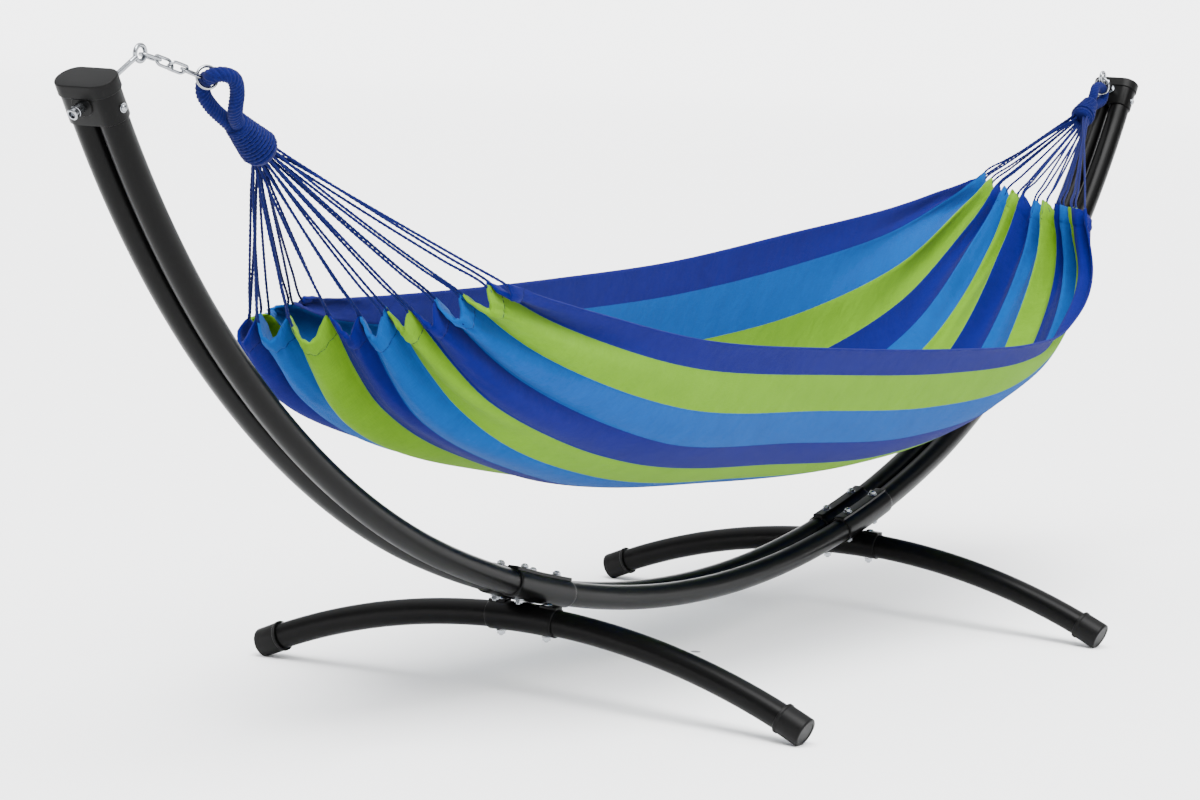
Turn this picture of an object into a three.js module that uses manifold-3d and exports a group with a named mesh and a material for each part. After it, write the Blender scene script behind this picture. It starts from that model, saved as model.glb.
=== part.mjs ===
// Cloth hammock hung between the two raised ends of a twin-tube arc stand.
// Millimetres, +Z up, origin on the floor under the middle; -X is the end with the long chain, -Y the front.
import * as THREE from "three";
import { mergeVertices } from "three/addons/utils/BufferGeometryUtils.js";
import Module from "manifold-3d";

const wasm = await Module();
wasm.setup();

// ---- Driving dimensions -------------------------------------------------------------------------
const GAP = 0.3; // clearance between pieces that touch
const SIDES = 12; // flats round a tube

// The arc: a gentle circle in the middle, a tighter one towards both ends.
const ARC_LOW_Z = 130.2;
const ARC_MID_RADIUS = 2725;
const ARC_MID_HALF = 937.7;
const ARC_END_RADIUS = 1791.5;
const ARC_HALF_LENGTH = 2226;
const ARC_ROW_Y = 25;
const ARC_TUBE_R = 23;
const ARC_BORE_R = 21;
const ARC_TUBE_TOP = 2187;

// The sleeves that join the arc tubes above each pair of legs.
const JOINT_S = 631.1;
const SLEEVE_HALF = 95;
const SLEEVE_BORE_R = 23.35;
const SLEEVE_R = 26;
const STRIP_HALF_WIDTH = 11;
const STRIP_TOP = 29.5;
const SLEEVE_BOLT_OFFSET = 56;
const SLEEVE_CHORD_RISE = 0.4; // the sleeve's straight halves lie this far inside the true arc at the bolts
const BOLT_HOLE_R = 5;
const BOLT_SHANK_R = 4;
const BOLT_HEAD_R = 7.5;
const BOLT_HEAD_HEIGHT = 8;
const NUT_HEIGHT = 6.5;

// The legs: two bowed tubes that meet in a sleeve under the arc.
const LEG_X = 625.5;
const LEG_RADIUS = 1396;
const LEG_TOP_Z = 147.3;
const LEG_TUBE_R = 24;
const LEG_BORE_R = 22;
const LEG_END_ANGLE = THREE.MathUtils.degToRad(24.4);
const LEG_SLEEVE_HALF = 70;
const LEG_SLEEVE_BORE_R = 24.35;
const LEG_SLEEVE_R = 27;
const LEG_BOLT_Y = 48;
const PAD_HEIGHT = 2.3;
const PAD_FROM = 36;
const PAD_HALF_WIDTH = 11;
const FOOT_LENGTH = 52;
const FOOT_R = 27.5;
const FOOT_LIP_R = 28.7;
const FOOT_BORE_R = 25.1;
const FOOT_END_WALL = 4;

// The collar, cap and eye bolt at each raised end.
const HEAD_FROM_TOP = 58;
const COLLAR_R = 26;
const COLLAR_BORE_R = 23.8;
const COLLAR_FROM = -11;
const COLLAR_TO = 55;
const CAP_R = 28.3;
const CAP_BORE_R = 26.4;
const CAP_FROM = 36;
const CAP_TO = 58;
const CAP_WALL = 2.4;
const BOSS_R = 18;
const BOSS_OUT = 28.5;
const EYE_AXIS_T = 24;
const LEFT_EYE_DISTANCE = 124;
const RIGHT_EYE_DISTANCE = 80;
const EYE_RING_R = 12;
const EYE_WIRE_R = 3.5;
const EYE_ROD_R = 4;
const BARREL_R = 9;
const BARREL_OUT = 53;
const EYE_NUT_TO = 58;
const SCREW_T = 8;
const SCREW_HOLE_R = 3.1;

// The chain, the ring and the rope.
const WIRE_R = 2.5;
const LINK_LENGTH = 45;
const LINK_WIDTH = 21;
const LINK_PITCH = 34.1;
const CHAIN_DIRECTION = new THREE.Vector3(0.9744, 0, -0.2248);
const FIRST_LINK_FROM_EYE = 24.2;
const LINK_ROLLS = [90, 152, 46, 112];
const RING_R = 17;
const RING_NORMAL = new THREE.Vector3(0.5, 0.85, -0.15).normalize();
const RING_WIRE_FROM_LINK = 14.4;
const RIGHT_LINK_LENGTH = 42;
const RIGHT_LINK_WIDTH = 37;
const RIGHT_LINK_ROLL = 90;
const RIGHT_LINK_SEAT = 2.6; // the link's wire hangs this far below the middle of the eye
const ROPE_R = 8.7;

// The cloth.
const CLOTH_THICKNESS = 4;
const FAN_THICKNESS = 5;
const FAN_NARROWING = 0.06;
const HAMMOCK_SHIFT_Y = -6;

// ---- Finishes -----------------------------------------------------------------------------------
const finish = (color, roughness, metalness) =>
  new THREE.MeshStandardMaterial({ color, roughness, metalness });
const POWDER_COAT = finish(0x1b1c1e, 0.45, 0.3);
const BLACK_PLASTIC = finish(0x202123, 0.6, 0);
const ZINC = finish(0xbdbfc2, 0.3, 0.95);
const CLOTH = finish(0x1766b0, 0.9, 0);
const ROPE = finish(0x1c2f84, 0.9, 0);

// ---- Solids -------------------------------------------------------------------------------------
function toSolid(geometry) {
  const bare = geometry.clone();
  bare.deleteAttribute("normal");
  bare.deleteAttribute("uv");
  const merged = mergeVertices(bare, 1e-3);
  const mesh = new wasm.Mesh({
    numProp: 3,
    vertProperties: new Float32Array(merged.attributes.position.array),
    triVerts: new Uint32Array(merged.index.array),
  });
  return new wasm.Manifold(mesh);
}

function toGeometry(solid) {
  const mesh = solid.getMesh();
  const geometry = new THREE.BufferGeometry();
  geometry.setAttribute(
    "position",
    new THREE.BufferAttribute(new Float32Array(mesh.vertProperties), 3),
  );
  geometry.setIndex(new THREE.BufferAttribute(new Uint32Array(mesh.triVerts), 1));
  geometry.computeVertexNormals();
  return geometry;
}

function addMesh(parent, name, geometry, material) {
  const mesh = new THREE.Mesh(geometry, material);
  mesh.name = name;
  parent.add(mesh);
}

// A skin over rings of equal count: the ends are either closed by fans or joined to each other.
function skin(rings, joined) {
  const count = rings[0].length;
  const points = rings.flat();
  const index = [];
  const bands = joined ? rings.length : rings.length - 1;
  for (let i = 0; i < bands; i++) {
    const low = i * count;
    const high = ((i + 1) % rings.length) * count;
    for (let k = 0; k < count; k++) {
      const next = (k + 1) % count;
      index.push(low + k, low + next, high + next);
      index.push(low + k, high + next, high + k);
    }
  }
  if (!joined) {
    const last = (rings.length - 1) * count;
    for (const [ring, base, forward] of [
      [rings[0], 0, false],
      [rings.at(-1), last, true],
    ]) {
      const middle = points.length;
      points.push(ring.reduce((sum, p) => sum.add(p), new THREE.Vector3()).divideScalar(count));
      for (let k = 0; k < count; k++) {
        const next = (k + 1) % count;
        if (forward) index.push(base + k, base + next, middle);
        else index.push(base + next, base + k, middle);
      }
    }
  }
  const geometry = new THREE.BufferGeometry().setFromPoints(points);
  geometry.setIndex(index);
  geometry.computeVertexNormals();
  return geometry;
}

// Outline points in a section plane: a circle, or a circle pulled apart along its first axis.
function outline(radius, halfPull = 0, count = SIDES) {
  const points = [];
  const arcSteps = count / 2;
  for (const side of [1, -1]) {
    const steps = halfPull ? arcSteps : arcSteps - 1;
    for (let i = 0; i <= steps; i++) {
      const angle = (i / arcSteps - 0.5) * Math.PI + (side < 0 ? Math.PI : 0);
      points.push([side * halfPull + radius * Math.cos(angle), radius * Math.sin(angle)]);
    }
  }
  return points;
}

const inFrame = (frame, points, along = 0) =>
  points.map(([a, b]) => new THREE.Vector3(a, b, along).applyMatrix4(frame));

// A tube swept through frames, open at both ends.
function sweptTube(frames, radius, boreRadius) {
  const outer = outline(radius);
  const inner = outline(boreRadius);
  const rings = frames.map((frame) => inFrame(frame, outer));
  for (const frame of [...frames].reverse()) rings.push(inFrame(frame, inner));
  return skin(rings, true);
}

function sweptBar(frames, points) {
  return skin(
    frames.map((frame) => inFrame(frame, points)),
    false,
  );
}

function frameOf(origin, xAxis, yAxis, zAxis) {
  return new THREE.Matrix4().makeBasis(xAxis, yAxis, zAxis).setPosition(origin);
}

// A turned piece: its profile is [radius, height] pairs from the lower end up.
// Its axis goes along the direction.
function turned(profile, origin, direction, segments = 10) {
  const points = profile.map(([r, h]) => new THREE.Vector2(r, h));
  const geometry = new THREE.LatheGeometry(points, segments);
  const turn = new THREE.Quaternion().setFromUnitVectors(new THREE.Vector3(0, 1, 0), direction);
  geometry.applyQuaternion(turn);
  geometry.translate(origin.x, origin.y, origin.z);
  return geometry;
}

function rod(radius, from, to, segments = 12) {
  const direction = to.clone().sub(from);
  const length = direction.length();
  const profile = [
    [0, 0],
    [radius, 0],
    [radius, length],
    [0, length],
  ];
  return toSolid(turned(profile, from, direction.normalize(), segments));
}

// ---- The arc ------------------------------------------------------------------------------------
// The frame at arc length s from the middle.
// Its x goes across the stand, its y towards the centre of the bend, its z along the tube.
function arcFrame(s, y) {
  const along = Math.abs(s);
  const midAngle = Math.min(along, ARC_MID_HALF) / ARC_MID_RADIUS;
  let angle = midAngle;
  let x = ARC_MID_RADIUS * Math.sin(midAngle);
  let z = ARC_LOW_Z + ARC_MID_RADIUS * (1 - Math.cos(midAngle));
  if (along > ARC_MID_HALF) {
    angle += (along - ARC_MID_HALF) / ARC_END_RADIUS;
    x += ARC_END_RADIUS * (Math.sin(angle) - Math.sin(midAngle));
    z += ARC_END_RADIUS * (Math.cos(midAngle) - Math.cos(angle));
  }
  const sign = s < 0 ? -1 : 1;
  angle *= sign;
  return frameOf(
    new THREE.Vector3(sign * x, y, z),
    new THREE.Vector3(0, 1, 0),
    new THREE.Vector3(-Math.sin(angle), 0, Math.cos(angle)),
    new THREE.Vector3(Math.cos(angle), 0, Math.sin(angle)),
  );
}

const local = (frame, a, b, t) => new THREE.Vector3(a, b, t).applyMatrix4(frame);

// Bolt holes run along y of the frame, through the whole tube.
function boltHole(s, y) {
  const frame = arcFrame(s, y);
  return rod(BOLT_HOLE_R, local(frame, 0, -40, 0), local(frame, 0, 40, 0), 6);
}

function arcTube(stations, y, holes) {
  const frames = stations.map((s) => arcFrame(s, y));
  let solid = toSolid(sweptTube(frames, ARC_TUBE_R, ARC_BORE_R));
  for (const hole of holes) solid = solid.subtract(hole);
  return toGeometry(solid);
}

function arcSleeve(y) {
  const stations = [JOINT_S - SLEEVE_HALF, JOINT_S, JOINT_S + SLEEVE_HALF];
  const frames = stations.map((s) => arcFrame(s, y));
  let solid = toSolid(sweptTube(frames, SLEEVE_R, SLEEVE_BORE_R));
  const strip = [
    [-STRIP_HALF_WIDTH, SLEEVE_BORE_R + 0.6],
    [STRIP_HALF_WIDTH, SLEEVE_BORE_R + 0.6],
    [STRIP_HALF_WIDTH, STRIP_TOP],
    [-STRIP_HALF_WIDTH, STRIP_TOP],
  ];
  solid = solid.add(toSolid(sweptBar(frames, strip)));
  const outward = Math.sign(y);
  solid = solid.trimByPlane([0, outward, 0], GAP / 2);
  for (const offset of [-SLEEVE_BOLT_OFFSET, SLEEVE_BOLT_OFFSET]) {
    solid = solid.subtract(boltHole(JOINT_S + offset, y));
  }
  return toGeometry(solid);
}

// A bolt and its nut in one turned piece, from the shank's lower end up.
function boltProfile(nutTop, headBase, headHeight, headR) {
  const nutBase = nutTop - NUT_HEIGHT;
  return [
    [0, nutBase - 1],
    [headR - 1, nutBase],
    [headR, nutTop],
    [BOLT_SHANK_R, nutTop],
    [BOLT_SHANK_R, headBase],
    [headR, headBase],
    [headR, headBase + headHeight * 0.6],
    [headR * 0.6, headBase + headHeight],
    [0, headBase + headHeight],
  ];
}

// ---- The legs -----------------------------------------------------------------------------------
// The frame at arc length s along the leg that goes to the given side of the arc (+1 rear, -1 front).
function legFrame(s, side) {
  const angle = s / LEG_RADIUS;
  const y = side * LEG_RADIUS * Math.sin(angle);
  const z = LEG_TOP_Z - LEG_RADIUS * (1 - Math.cos(angle));
  return frameOf(
    new THREE.Vector3(LEG_X, y, z),
    new THREE.Vector3(-side, 0, 0),
    new THREE.Vector3(0, side * Math.sin(angle), Math.cos(angle)),
    new THREE.Vector3(0, side * Math.cos(angle), -Math.sin(angle)),
  );
}

const LEG_LENGTH = LEG_RADIUS * LEG_END_ANGLE;
const LEG_BOLT_HOLE_FROM = LEG_TOP_Z - 40;
const LEG_BOLT_HOLE_TO = LEG_TOP_Z + 40;

function legBoltHole(side) {
  const y = side * LEG_BOLT_Y;
  return rod(
    BOLT_HOLE_R,
    new THREE.Vector3(LEG_X, y, LEG_BOLT_HOLE_FROM),
    new THREE.Vector3(LEG_X, y, LEG_BOLT_HOLE_TO),
    6,
  );
}

function legTube(side) {
  const tubeEnd = LEG_LENGTH - FOOT_END_WALL - 0.9;
  const stations = [GAP, LEG_SLEEVE_HALF, 190, 310, 430, LEG_LENGTH - FOOT_LENGTH, tubeEnd];
  const frames = stations.map((s) => legFrame(s, side));
  const solid = toSolid(sweptTube(frames, LEG_TUBE_R, LEG_BORE_R));
  return toGeometry(solid.subtract(legBoltHole(side)));
}

function legSleeve() {
  const frames = [legFrame(-LEG_SLEEVE_HALF, 1), legFrame(0, 1), legFrame(LEG_SLEEVE_HALF, 1)];
  let solid = toSolid(sweptTube(frames, LEG_SLEEVE_R, LEG_SLEEVE_BORE_R));
  const pad = [
    [-PAD_HALF_WIDTH, LEG_SLEEVE_BORE_R + 0.6],
    [PAD_HALF_WIDTH, LEG_SLEEVE_BORE_R + 0.6],
    [PAD_HALF_WIDTH, LEG_SLEEVE_R + PAD_HEIGHT],
    [-PAD_HALF_WIDTH, LEG_SLEEVE_R + PAD_HEIGHT],
  ];
  for (const side of [1, -1]) {
    const padFrames = [legFrame(PAD_FROM, side), legFrame(LEG_SLEEVE_HALF, side)];
    solid = solid.add(toSolid(sweptBar(padFrames, pad)));
    solid = solid.subtract(legBoltHole(side));
  }
  return toGeometry(solid);
}

// The foot cap: a closed cup pushed over the leg's end, worn flat where it stands on the floor.
function footCap(side) {
  const overlap = LEG_LENGTH - FOOT_LENGTH / 2;
  const frame = legFrame(overlap, side);
  const origin = local(frame, 0, 0, -FOOT_LENGTH / 2);
  const direction = new THREE.Vector3().setFromMatrixColumn(frame, 2);
  const profile = [
    [0, FOOT_LENGTH - FOOT_END_WALL],
    [FOOT_BORE_R, FOOT_LENGTH - FOOT_END_WALL],
    [FOOT_BORE_R, 0],
    [FOOT_LIP_R, 0],
    [FOOT_LIP_R, 6],
    [FOOT_R, 7],
    [FOOT_R, FOOT_LENGTH - 2],
    [FOOT_R - 2, FOOT_LENGTH],
    [0, FOOT_LENGTH],
  ];
  const solid = toSolid(turned(profile, origin, direction, 16));
  return toGeometry(solid.trimByPlane([0, 0, 1], 0));
}

function legBolt(side) {
  const y = side * LEG_BOLT_Y;
  const drop = (LEG_RADIUS * (1 - Math.cos(LEG_SLEEVE_HALF / LEG_RADIUS)) * LEG_BOLT_Y) / LEG_SLEEVE_HALF;
  const headBase = LEG_SLEEVE_R + PAD_HEIGHT - drop + 0.9;
  const lowerBase = -LEG_SLEEVE_R - drop - 0.6;
  const profile = [
    [0, lowerBase - 9.5],
    [BOLT_HEAD_R - 1, lowerBase - 9.5],
    [BOLT_HEAD_R, lowerBase - 8.5],
    [BOLT_HEAD_R, lowerBase],
    [BOLT_SHANK_R, lowerBase],
    [BOLT_SHANK_R, headBase],
    [BOLT_HEAD_R, headBase],
    [BOLT_HEAD_R - 1, headBase + 3.2],
    [0, headBase + 3.2],
  ];
  const origin = new THREE.Vector3(LEG_X, y, LEG_TOP_Z);
  return turned(profile, origin, new THREE.Vector3(0, 0, 1), 8);
}

// ---- Collar, cap and eye bolt -------------------------------------------------------------------
const HEAD_FRAME = arcFrame(ARC_HALF_LENGTH - HEAD_FROM_TOP, 0);
const INWARD = new THREE.Vector3().setFromMatrixColumn(HEAD_FRAME, 1);
const OUTWARD = INWARD.clone().negate();
const FRONT = new THREE.Vector3(0, -1, 0);
const REAR = new THREE.Vector3(0, 1, 0);
const EYE_BASE = local(HEAD_FRAME, 0, 0, EYE_AXIS_T);

// A stadium-shaped ring of points in the head's frame.
const stadium = (radius, along) =>
  outline(radius, ARC_ROW_Y).map(([a, b]) => new THREE.Vector3(a, b, along).applyMatrix4(HEAD_FRAME));

function collar() {
  const rings = [
    stadium(COLLAR_R, COLLAR_FROM),
    stadium(COLLAR_R, COLLAR_TO),
    stadium(COLLAR_BORE_R, COLLAR_TO),
    stadium(COLLAR_BORE_R, COLLAR_FROM),
  ];
  let solid = toSolid(skin(rings, true));
  const bossFrom = local(HEAD_FRAME, 0, -BOSS_OUT, EYE_AXIS_T);
  const bossTo = local(HEAD_FRAME, 0, -COLLAR_BORE_R - 1, EYE_AXIS_T);
  const boss = rod(BOSS_R, bossFrom, bossTo, 16);
  const along = new THREE.Vector3().setFromMatrixColumn(HEAD_FRAME, 2);
  const bossLimit = local(HEAD_FRAME, 0, 0, CAP_FROM - 0.5).dot(along);
  solid = solid.add(boss.trimByPlane([-along.x, -along.y, -along.z], -bossLimit));
  const rodHole = rod(
    BOLT_HOLE_R,
    local(HEAD_FRAME, 0, -40, EYE_AXIS_T),
    local(HEAD_FRAME, 0, 40, EYE_AXIS_T),
    10,
  );
  solid = solid.subtract(rodHole);
  for (const side of [-1, 1]) solid = solid.subtract(endScrewHole(side));
  return toGeometry(solid.subtract(innerScrewHole()));
}

function endScrewHole(side) {
  const from = local(HEAD_FRAME, side * 38, 0, SCREW_T);
  const to = local(HEAD_FRAME, side * 60, 0, SCREW_T);
  return rod(SCREW_HOLE_R, from, to, 8);
}

function innerScrewHole() {
  const from = local(HEAD_FRAME, ARC_ROW_Y, 12, SCREW_T);
  const to = local(HEAD_FRAME, ARC_ROW_Y, 36, SCREW_T);
  return rod(SCREW_HOLE_R, from, to, 8);
}

function topCap() {
  const rings = [
    stadium(CAP_BORE_R, CAP_TO - CAP_WALL),
    stadium(CAP_BORE_R, CAP_FROM),
    stadium(CAP_R, CAP_FROM),
    stadium(CAP_R, CAP_TO - 1.5),
    stadium(CAP_R - 1.5, CAP_TO),
  ];
  return skin(rings, false);
}

// The eye bolt: a rod through the collar with a closed ring at its inner end.
function eyeBolt(distance) {
  const shank = rod(
    EYE_ROD_R,
    local(HEAD_FRAME, 0, -42.5, EYE_AXIS_T),
    local(HEAD_FRAME, 0, distance - EYE_RING_R, EYE_AXIS_T),
    10,
  );
  const ring = new THREE.TorusGeometry(EYE_RING_R, EYE_WIRE_R, 6, 16);
  const third = new THREE.Vector3().crossVectors(REAR, INWARD);
  ring.applyMatrix4(frameOf(local(HEAD_FRAME, 0, distance, EYE_AXIS_T), INWARD, third, REAR));
  return toGeometry(shank.add(toSolid(ring)));
}

function barrelNut() {
  const from = BOSS_OUT + GAP;
  const profile = [
    [0, 43.2],
    [BOLT_HOLE_R, 43.2],
    [BOLT_HOLE_R, from],
    [BARREL_R, from],
    [BARREL_R, BARREL_OUT - 1],
    [BARREL_R - 1, BARREL_OUT],
    [0, BARREL_OUT],
  ];
  const solid = toSolid(turned(profile, EYE_BASE, OUTWARD, 12));
  const socketFrom = EYE_BASE.clone().addScaledVector(OUTWARD, BARREL_OUT - 6);
  const socketTo = EYE_BASE.clone().addScaledVector(OUTWARD, BARREL_OUT + 2);
  return toGeometry(solid.subtract(rod(5, socketFrom, socketTo, 6)));
}

function eyeNut() {
  const profile = [
    [BOLT_HOLE_R, COLLAR_R + GAP],
    [BARREL_R, COLLAR_R + GAP],
    [BARREL_R, EYE_NUT_TO - 1],
    [BARREL_R - 1, EYE_NUT_TO],
    [BOLT_HOLE_R, EYE_NUT_TO],
    [BOLT_HOLE_R, COLLAR_R + GAP],
  ];
  return turned(profile, EYE_BASE, INWARD, 10);
}

// A small screw with a washer: its shank starts inside the tube, its washer lies on the collar.
function screwProfile(washerBase) {
  return [
    [0, washerBase - 7],
    [2.5, washerBase - 7],
    [2.5, washerBase],
    [7.5, washerBase],
    [7.5, washerBase + 1.2],
    [5.5, washerBase + 1.2],
    [5.5, washerBase + 3.4],
    [3.2, washerBase + 5],
    [0, washerBase + 5],
  ];
}

// ---- Chain, ring and rope -----------------------------------------------------------------------
class LinkCurve extends THREE.Curve {
  constructor(length, width) {
    super();
    this.radius = width / 2 - WIRE_R;
    this.straight = length - width;
    this.perimeter = 2 * this.straight + 2 * Math.PI * this.radius;
  }
  getPoint(t) {
    const half = this.perimeter / 2;
    const turnedRound = t >= 0.5 && t < 1;
    const distance = (((t % 1) + 1) % 1) * this.perimeter - (turnedRound ? half : 0);
    const sign = turnedRound ? -1 : 1;
    if (distance < this.straight) {
      return new THREE.Vector3(sign * (distance - this.straight / 2), -sign * this.radius, 0);
    }
    const angle = (distance - this.straight) / this.radius - Math.PI / 2;
    const x = this.straight / 2 + this.radius * Math.cos(angle);
    return new THREE.Vector3(sign * x, sign * this.radius * Math.sin(angle), 0);
  }
}

// A frame whose x axis goes along the direction; at roll 0 its z axis points to the rear.
function rolledFrame(centre, direction, rollDegrees) {
  const roll = THREE.MathUtils.degToRad(rollDegrees);
  const up = new THREE.Vector3().crossVectors(direction, REAR).normalize();
  const normal = REAR.clone().multiplyScalar(Math.cos(roll)).addScaledVector(up, Math.sin(roll));
  const side = new THREE.Vector3().crossVectors(normal, direction);
  return frameOf(centre, direction, side, normal);
}

function chainLink(length, width, frame) {
  const geometry = new THREE.TubeGeometry(new LinkCurve(length, width), 16, WIRE_R, 6, true);
  return geometry.applyMatrix4(frame);
}

const vectors = (rows) => rows.map(([x, y, z]) => new THREE.Vector3(x, y, z));

// The rope bent into a closed loop, with the whipping that binds it to the cords.
function ropeLoop(points, whipFrom, whipTo, whipFromR, whipToR) {
  const curve = new THREE.CatmullRomCurve3(vectors(points), true);
  const loop = toSolid(new THREE.TubeGeometry(curve, 24, ROPE_R, 6, true));
  const [from, to] = vectors([whipFrom, whipTo]);
  const direction = to.clone().sub(from);
  const length = direction.length();
  const profile = [
    [0, 0],
    [whipFromR * 0.8, 0],
    [whipFromR, 6],
    [whipToR, length - 12],
    [whipToR * 0.88, length],
    [0, length],
  ];
  const whipping = toSolid(turned(profile, from, direction.normalize(), 12));
  return toGeometry(loop.add(whipping));
}

// ---- Cloth --------------------------------------------------------------------------------------
// Rows of five points across the cloth, front rim to rear rim, from the left hem to the right hem.
const CLOTH_ROWS = [
  [[-1109, -250, 783], [-1180, -135, 733], [-1215, 0, 704], [-1245, 140, 690], [-1000, 240, 718]],
  [[-900, -268, 735], [-1010, -190, 600], [-1050, 0, 540], [-1075, 175, 560], [-830, 262, 709]],
  [[-560, -305, 668], [-620, -230, 470], [-650, -10, 402], [-640, 205, 440], [-480, 290, 704]],
  [[-100, -335, 628], [-100, -235, 425], [-100, -10, 345], [-80, 220, 430], [-50, 330, 703]],
  [[350, -345, 600], [350, -235, 400], [350, -10, 335], [370, 225, 430], [400, 330, 718]],
  [[760, -325, 584], [770, -225, 430], [770, -10, 375], [800, 200, 470], [850, 295, 765]],
  [[1040, -280, 600], [1080, -190, 520], [1100, 0, 500], [1130, 150, 590], [1200, 250, 808]],
  [[1225, -245, 690], [1290, -150, 680], [1330, 0, 700], [1380, 130, 750], [1400, 225, 842]],
  [[1275, -200, 830], [1370, -110, 826], [1430, 0, 828], [1500, 110, 848], [1560, 200, 873]],
];
const CLOTH_ACROSS = 10;
const CLOTH_ALONG = 16;
const FAN_ALONG = 5;
const HEM_GAP = 8.5;

const spline = (points) => new THREE.CatmullRomCurve3(points, false, "centripetal");
const shifted = ([x, y, z]) => new THREE.Vector3(x, y + HAMMOCK_SHIFT_Y, z);

// The middle surface of the cloth as a grid: grid[i][j], i along the hammock, j across it.
function clothGrid() {
  const rows = CLOTH_ROWS.map((row) => spline(row.map(shifted)).getPoints(CLOTH_ACROSS));
  const columns = [];
  for (let j = 0; j <= CLOTH_ACROSS; j++) {
    columns.push(spline(rows.map((row) => row[j])).getPoints(CLOTH_ALONG));
  }
  return Array.from({ length: CLOTH_ALONG + 1 }, (_, i) => columns.map((column) => column[i]));
}

// A closed shell of even thickness about a grid of points.
function shell(grid, thickness) {
  const last = grid.length - 1;
  const lastAcross = grid[0].length - 1;
  const pick = (i, j) => grid[Math.min(Math.max(i, 0), last)][Math.min(Math.max(j, 0), lastAcross)];
  const offset = (i, j, distance) => {
    const along = pick(i + 1, j).clone().sub(pick(i - 1, j));
    const across = pick(i, j + 1).clone().sub(pick(i, j - 1));
    const normal = across.cross(along).normalize();
    return grid[i][j].clone().addScaledVector(normal, distance);
  };
  const rings = grid.map((row, i) => {
    const under = row.map((_, j) => offset(i, j, thickness / 2));
    const over = row.map((_, j) => offset(i, j, -thickness / 2)).reverse();
    return [...over, ...under];
  });
  return cappedShell(rings, lastAcross + 1);
}

// The skin of a shell: bands between rings, and flat strips across both ends.
function cappedShell(rings, width) {
  const count = rings[0].length;
  const index = [];
  for (let i = 0; i < rings.length - 1; i++) {
    for (let k = 0; k < count; k++) {
      const next = (k + 1) % count;
      const low = i * count;
      const high = low + count;
      index.push(low + k, low + next, high + next);
      index.push(low + k, high + next, high + k);
    }
  }
  const far = (rings.length - 1) * count;
  for (let j = 0; j < width - 1; j++) {
    const partner = count - 1 - j;
    index.push(j + 1, j, partner, j + 1, partner, partner - 1);
    index.push(far + j, far + j + 1, far + partner - 1, far + j, far + partner - 1, far + partner);
  }
  const geometry = new THREE.BufferGeometry().setFromPoints(rings.flat());
  geometry.setIndex(index);
  geometry.computeVertexNormals();
  return geometry;
}

// The fan of cords between the whipping and a hem, as one thin flared sheet.
function cordFan(hem, nextRow, whipEnd, whipDirection) {
  const apex = new THREE.Vector3(...whipEnd);
  const centre = hem.reduce((sum, p) => sum.add(p), new THREE.Vector3()).divideScalar(hem.length);
  const start = apex.clone().addScaledVector(whipDirection, 4);
  const grid = [];
  for (let i = 0; i <= FAN_ALONG; i++) {
    const t = i / FAN_ALONG;
    grid.push(
      hem.map((point, j) => {
        const spread = point.clone().sub(centre);
        spread.addScaledVector(whipDirection, -spread.dot(whipDirection));
        const near = start.clone().addScaledVector(spread, FAN_NARROWING);
        const away = point.clone().sub(nextRow[j]).normalize();
        const far = point.clone().addScaledVector(away, HEM_GAP);
        return near.lerp(far, t);
      }),
    );
  }
  return grid;
}

// ---- The assembly -------------------------------------------------------------------------------
const group = new THREE.Group();
group.name = "hammock_on_stand";

const middleStations = [GAP - JOINT_S, SLEEVE_HALF - JOINT_S, -357, -179, 0];
for (const s of [...middleStations].reverse().slice(1)) middleStations.push(-s);
const upperStations = [JOINT_S + GAP, JOINT_S + SLEEVE_HALF];
for (let s = 880; s <= 2040; s += 165) upperStations.push(s);
upperStations.push(ARC_HALF_LENGTH - HEAD_FROM_TOP + COLLAR_FROM, ARC_TUBE_TOP);

for (const [row, y] of [["front", -ARC_ROW_Y], ["rear", ARC_ROW_Y]]) {
  const inset = JOINT_S - SLEEVE_BOLT_OFFSET;
  const holes = [boltHole(-inset, y), boltHole(inset, y)];
  addMesh(group, `arc_middle_${row}`, arcTube(middleStations, y, holes), POWDER_COAT);
}

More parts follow.
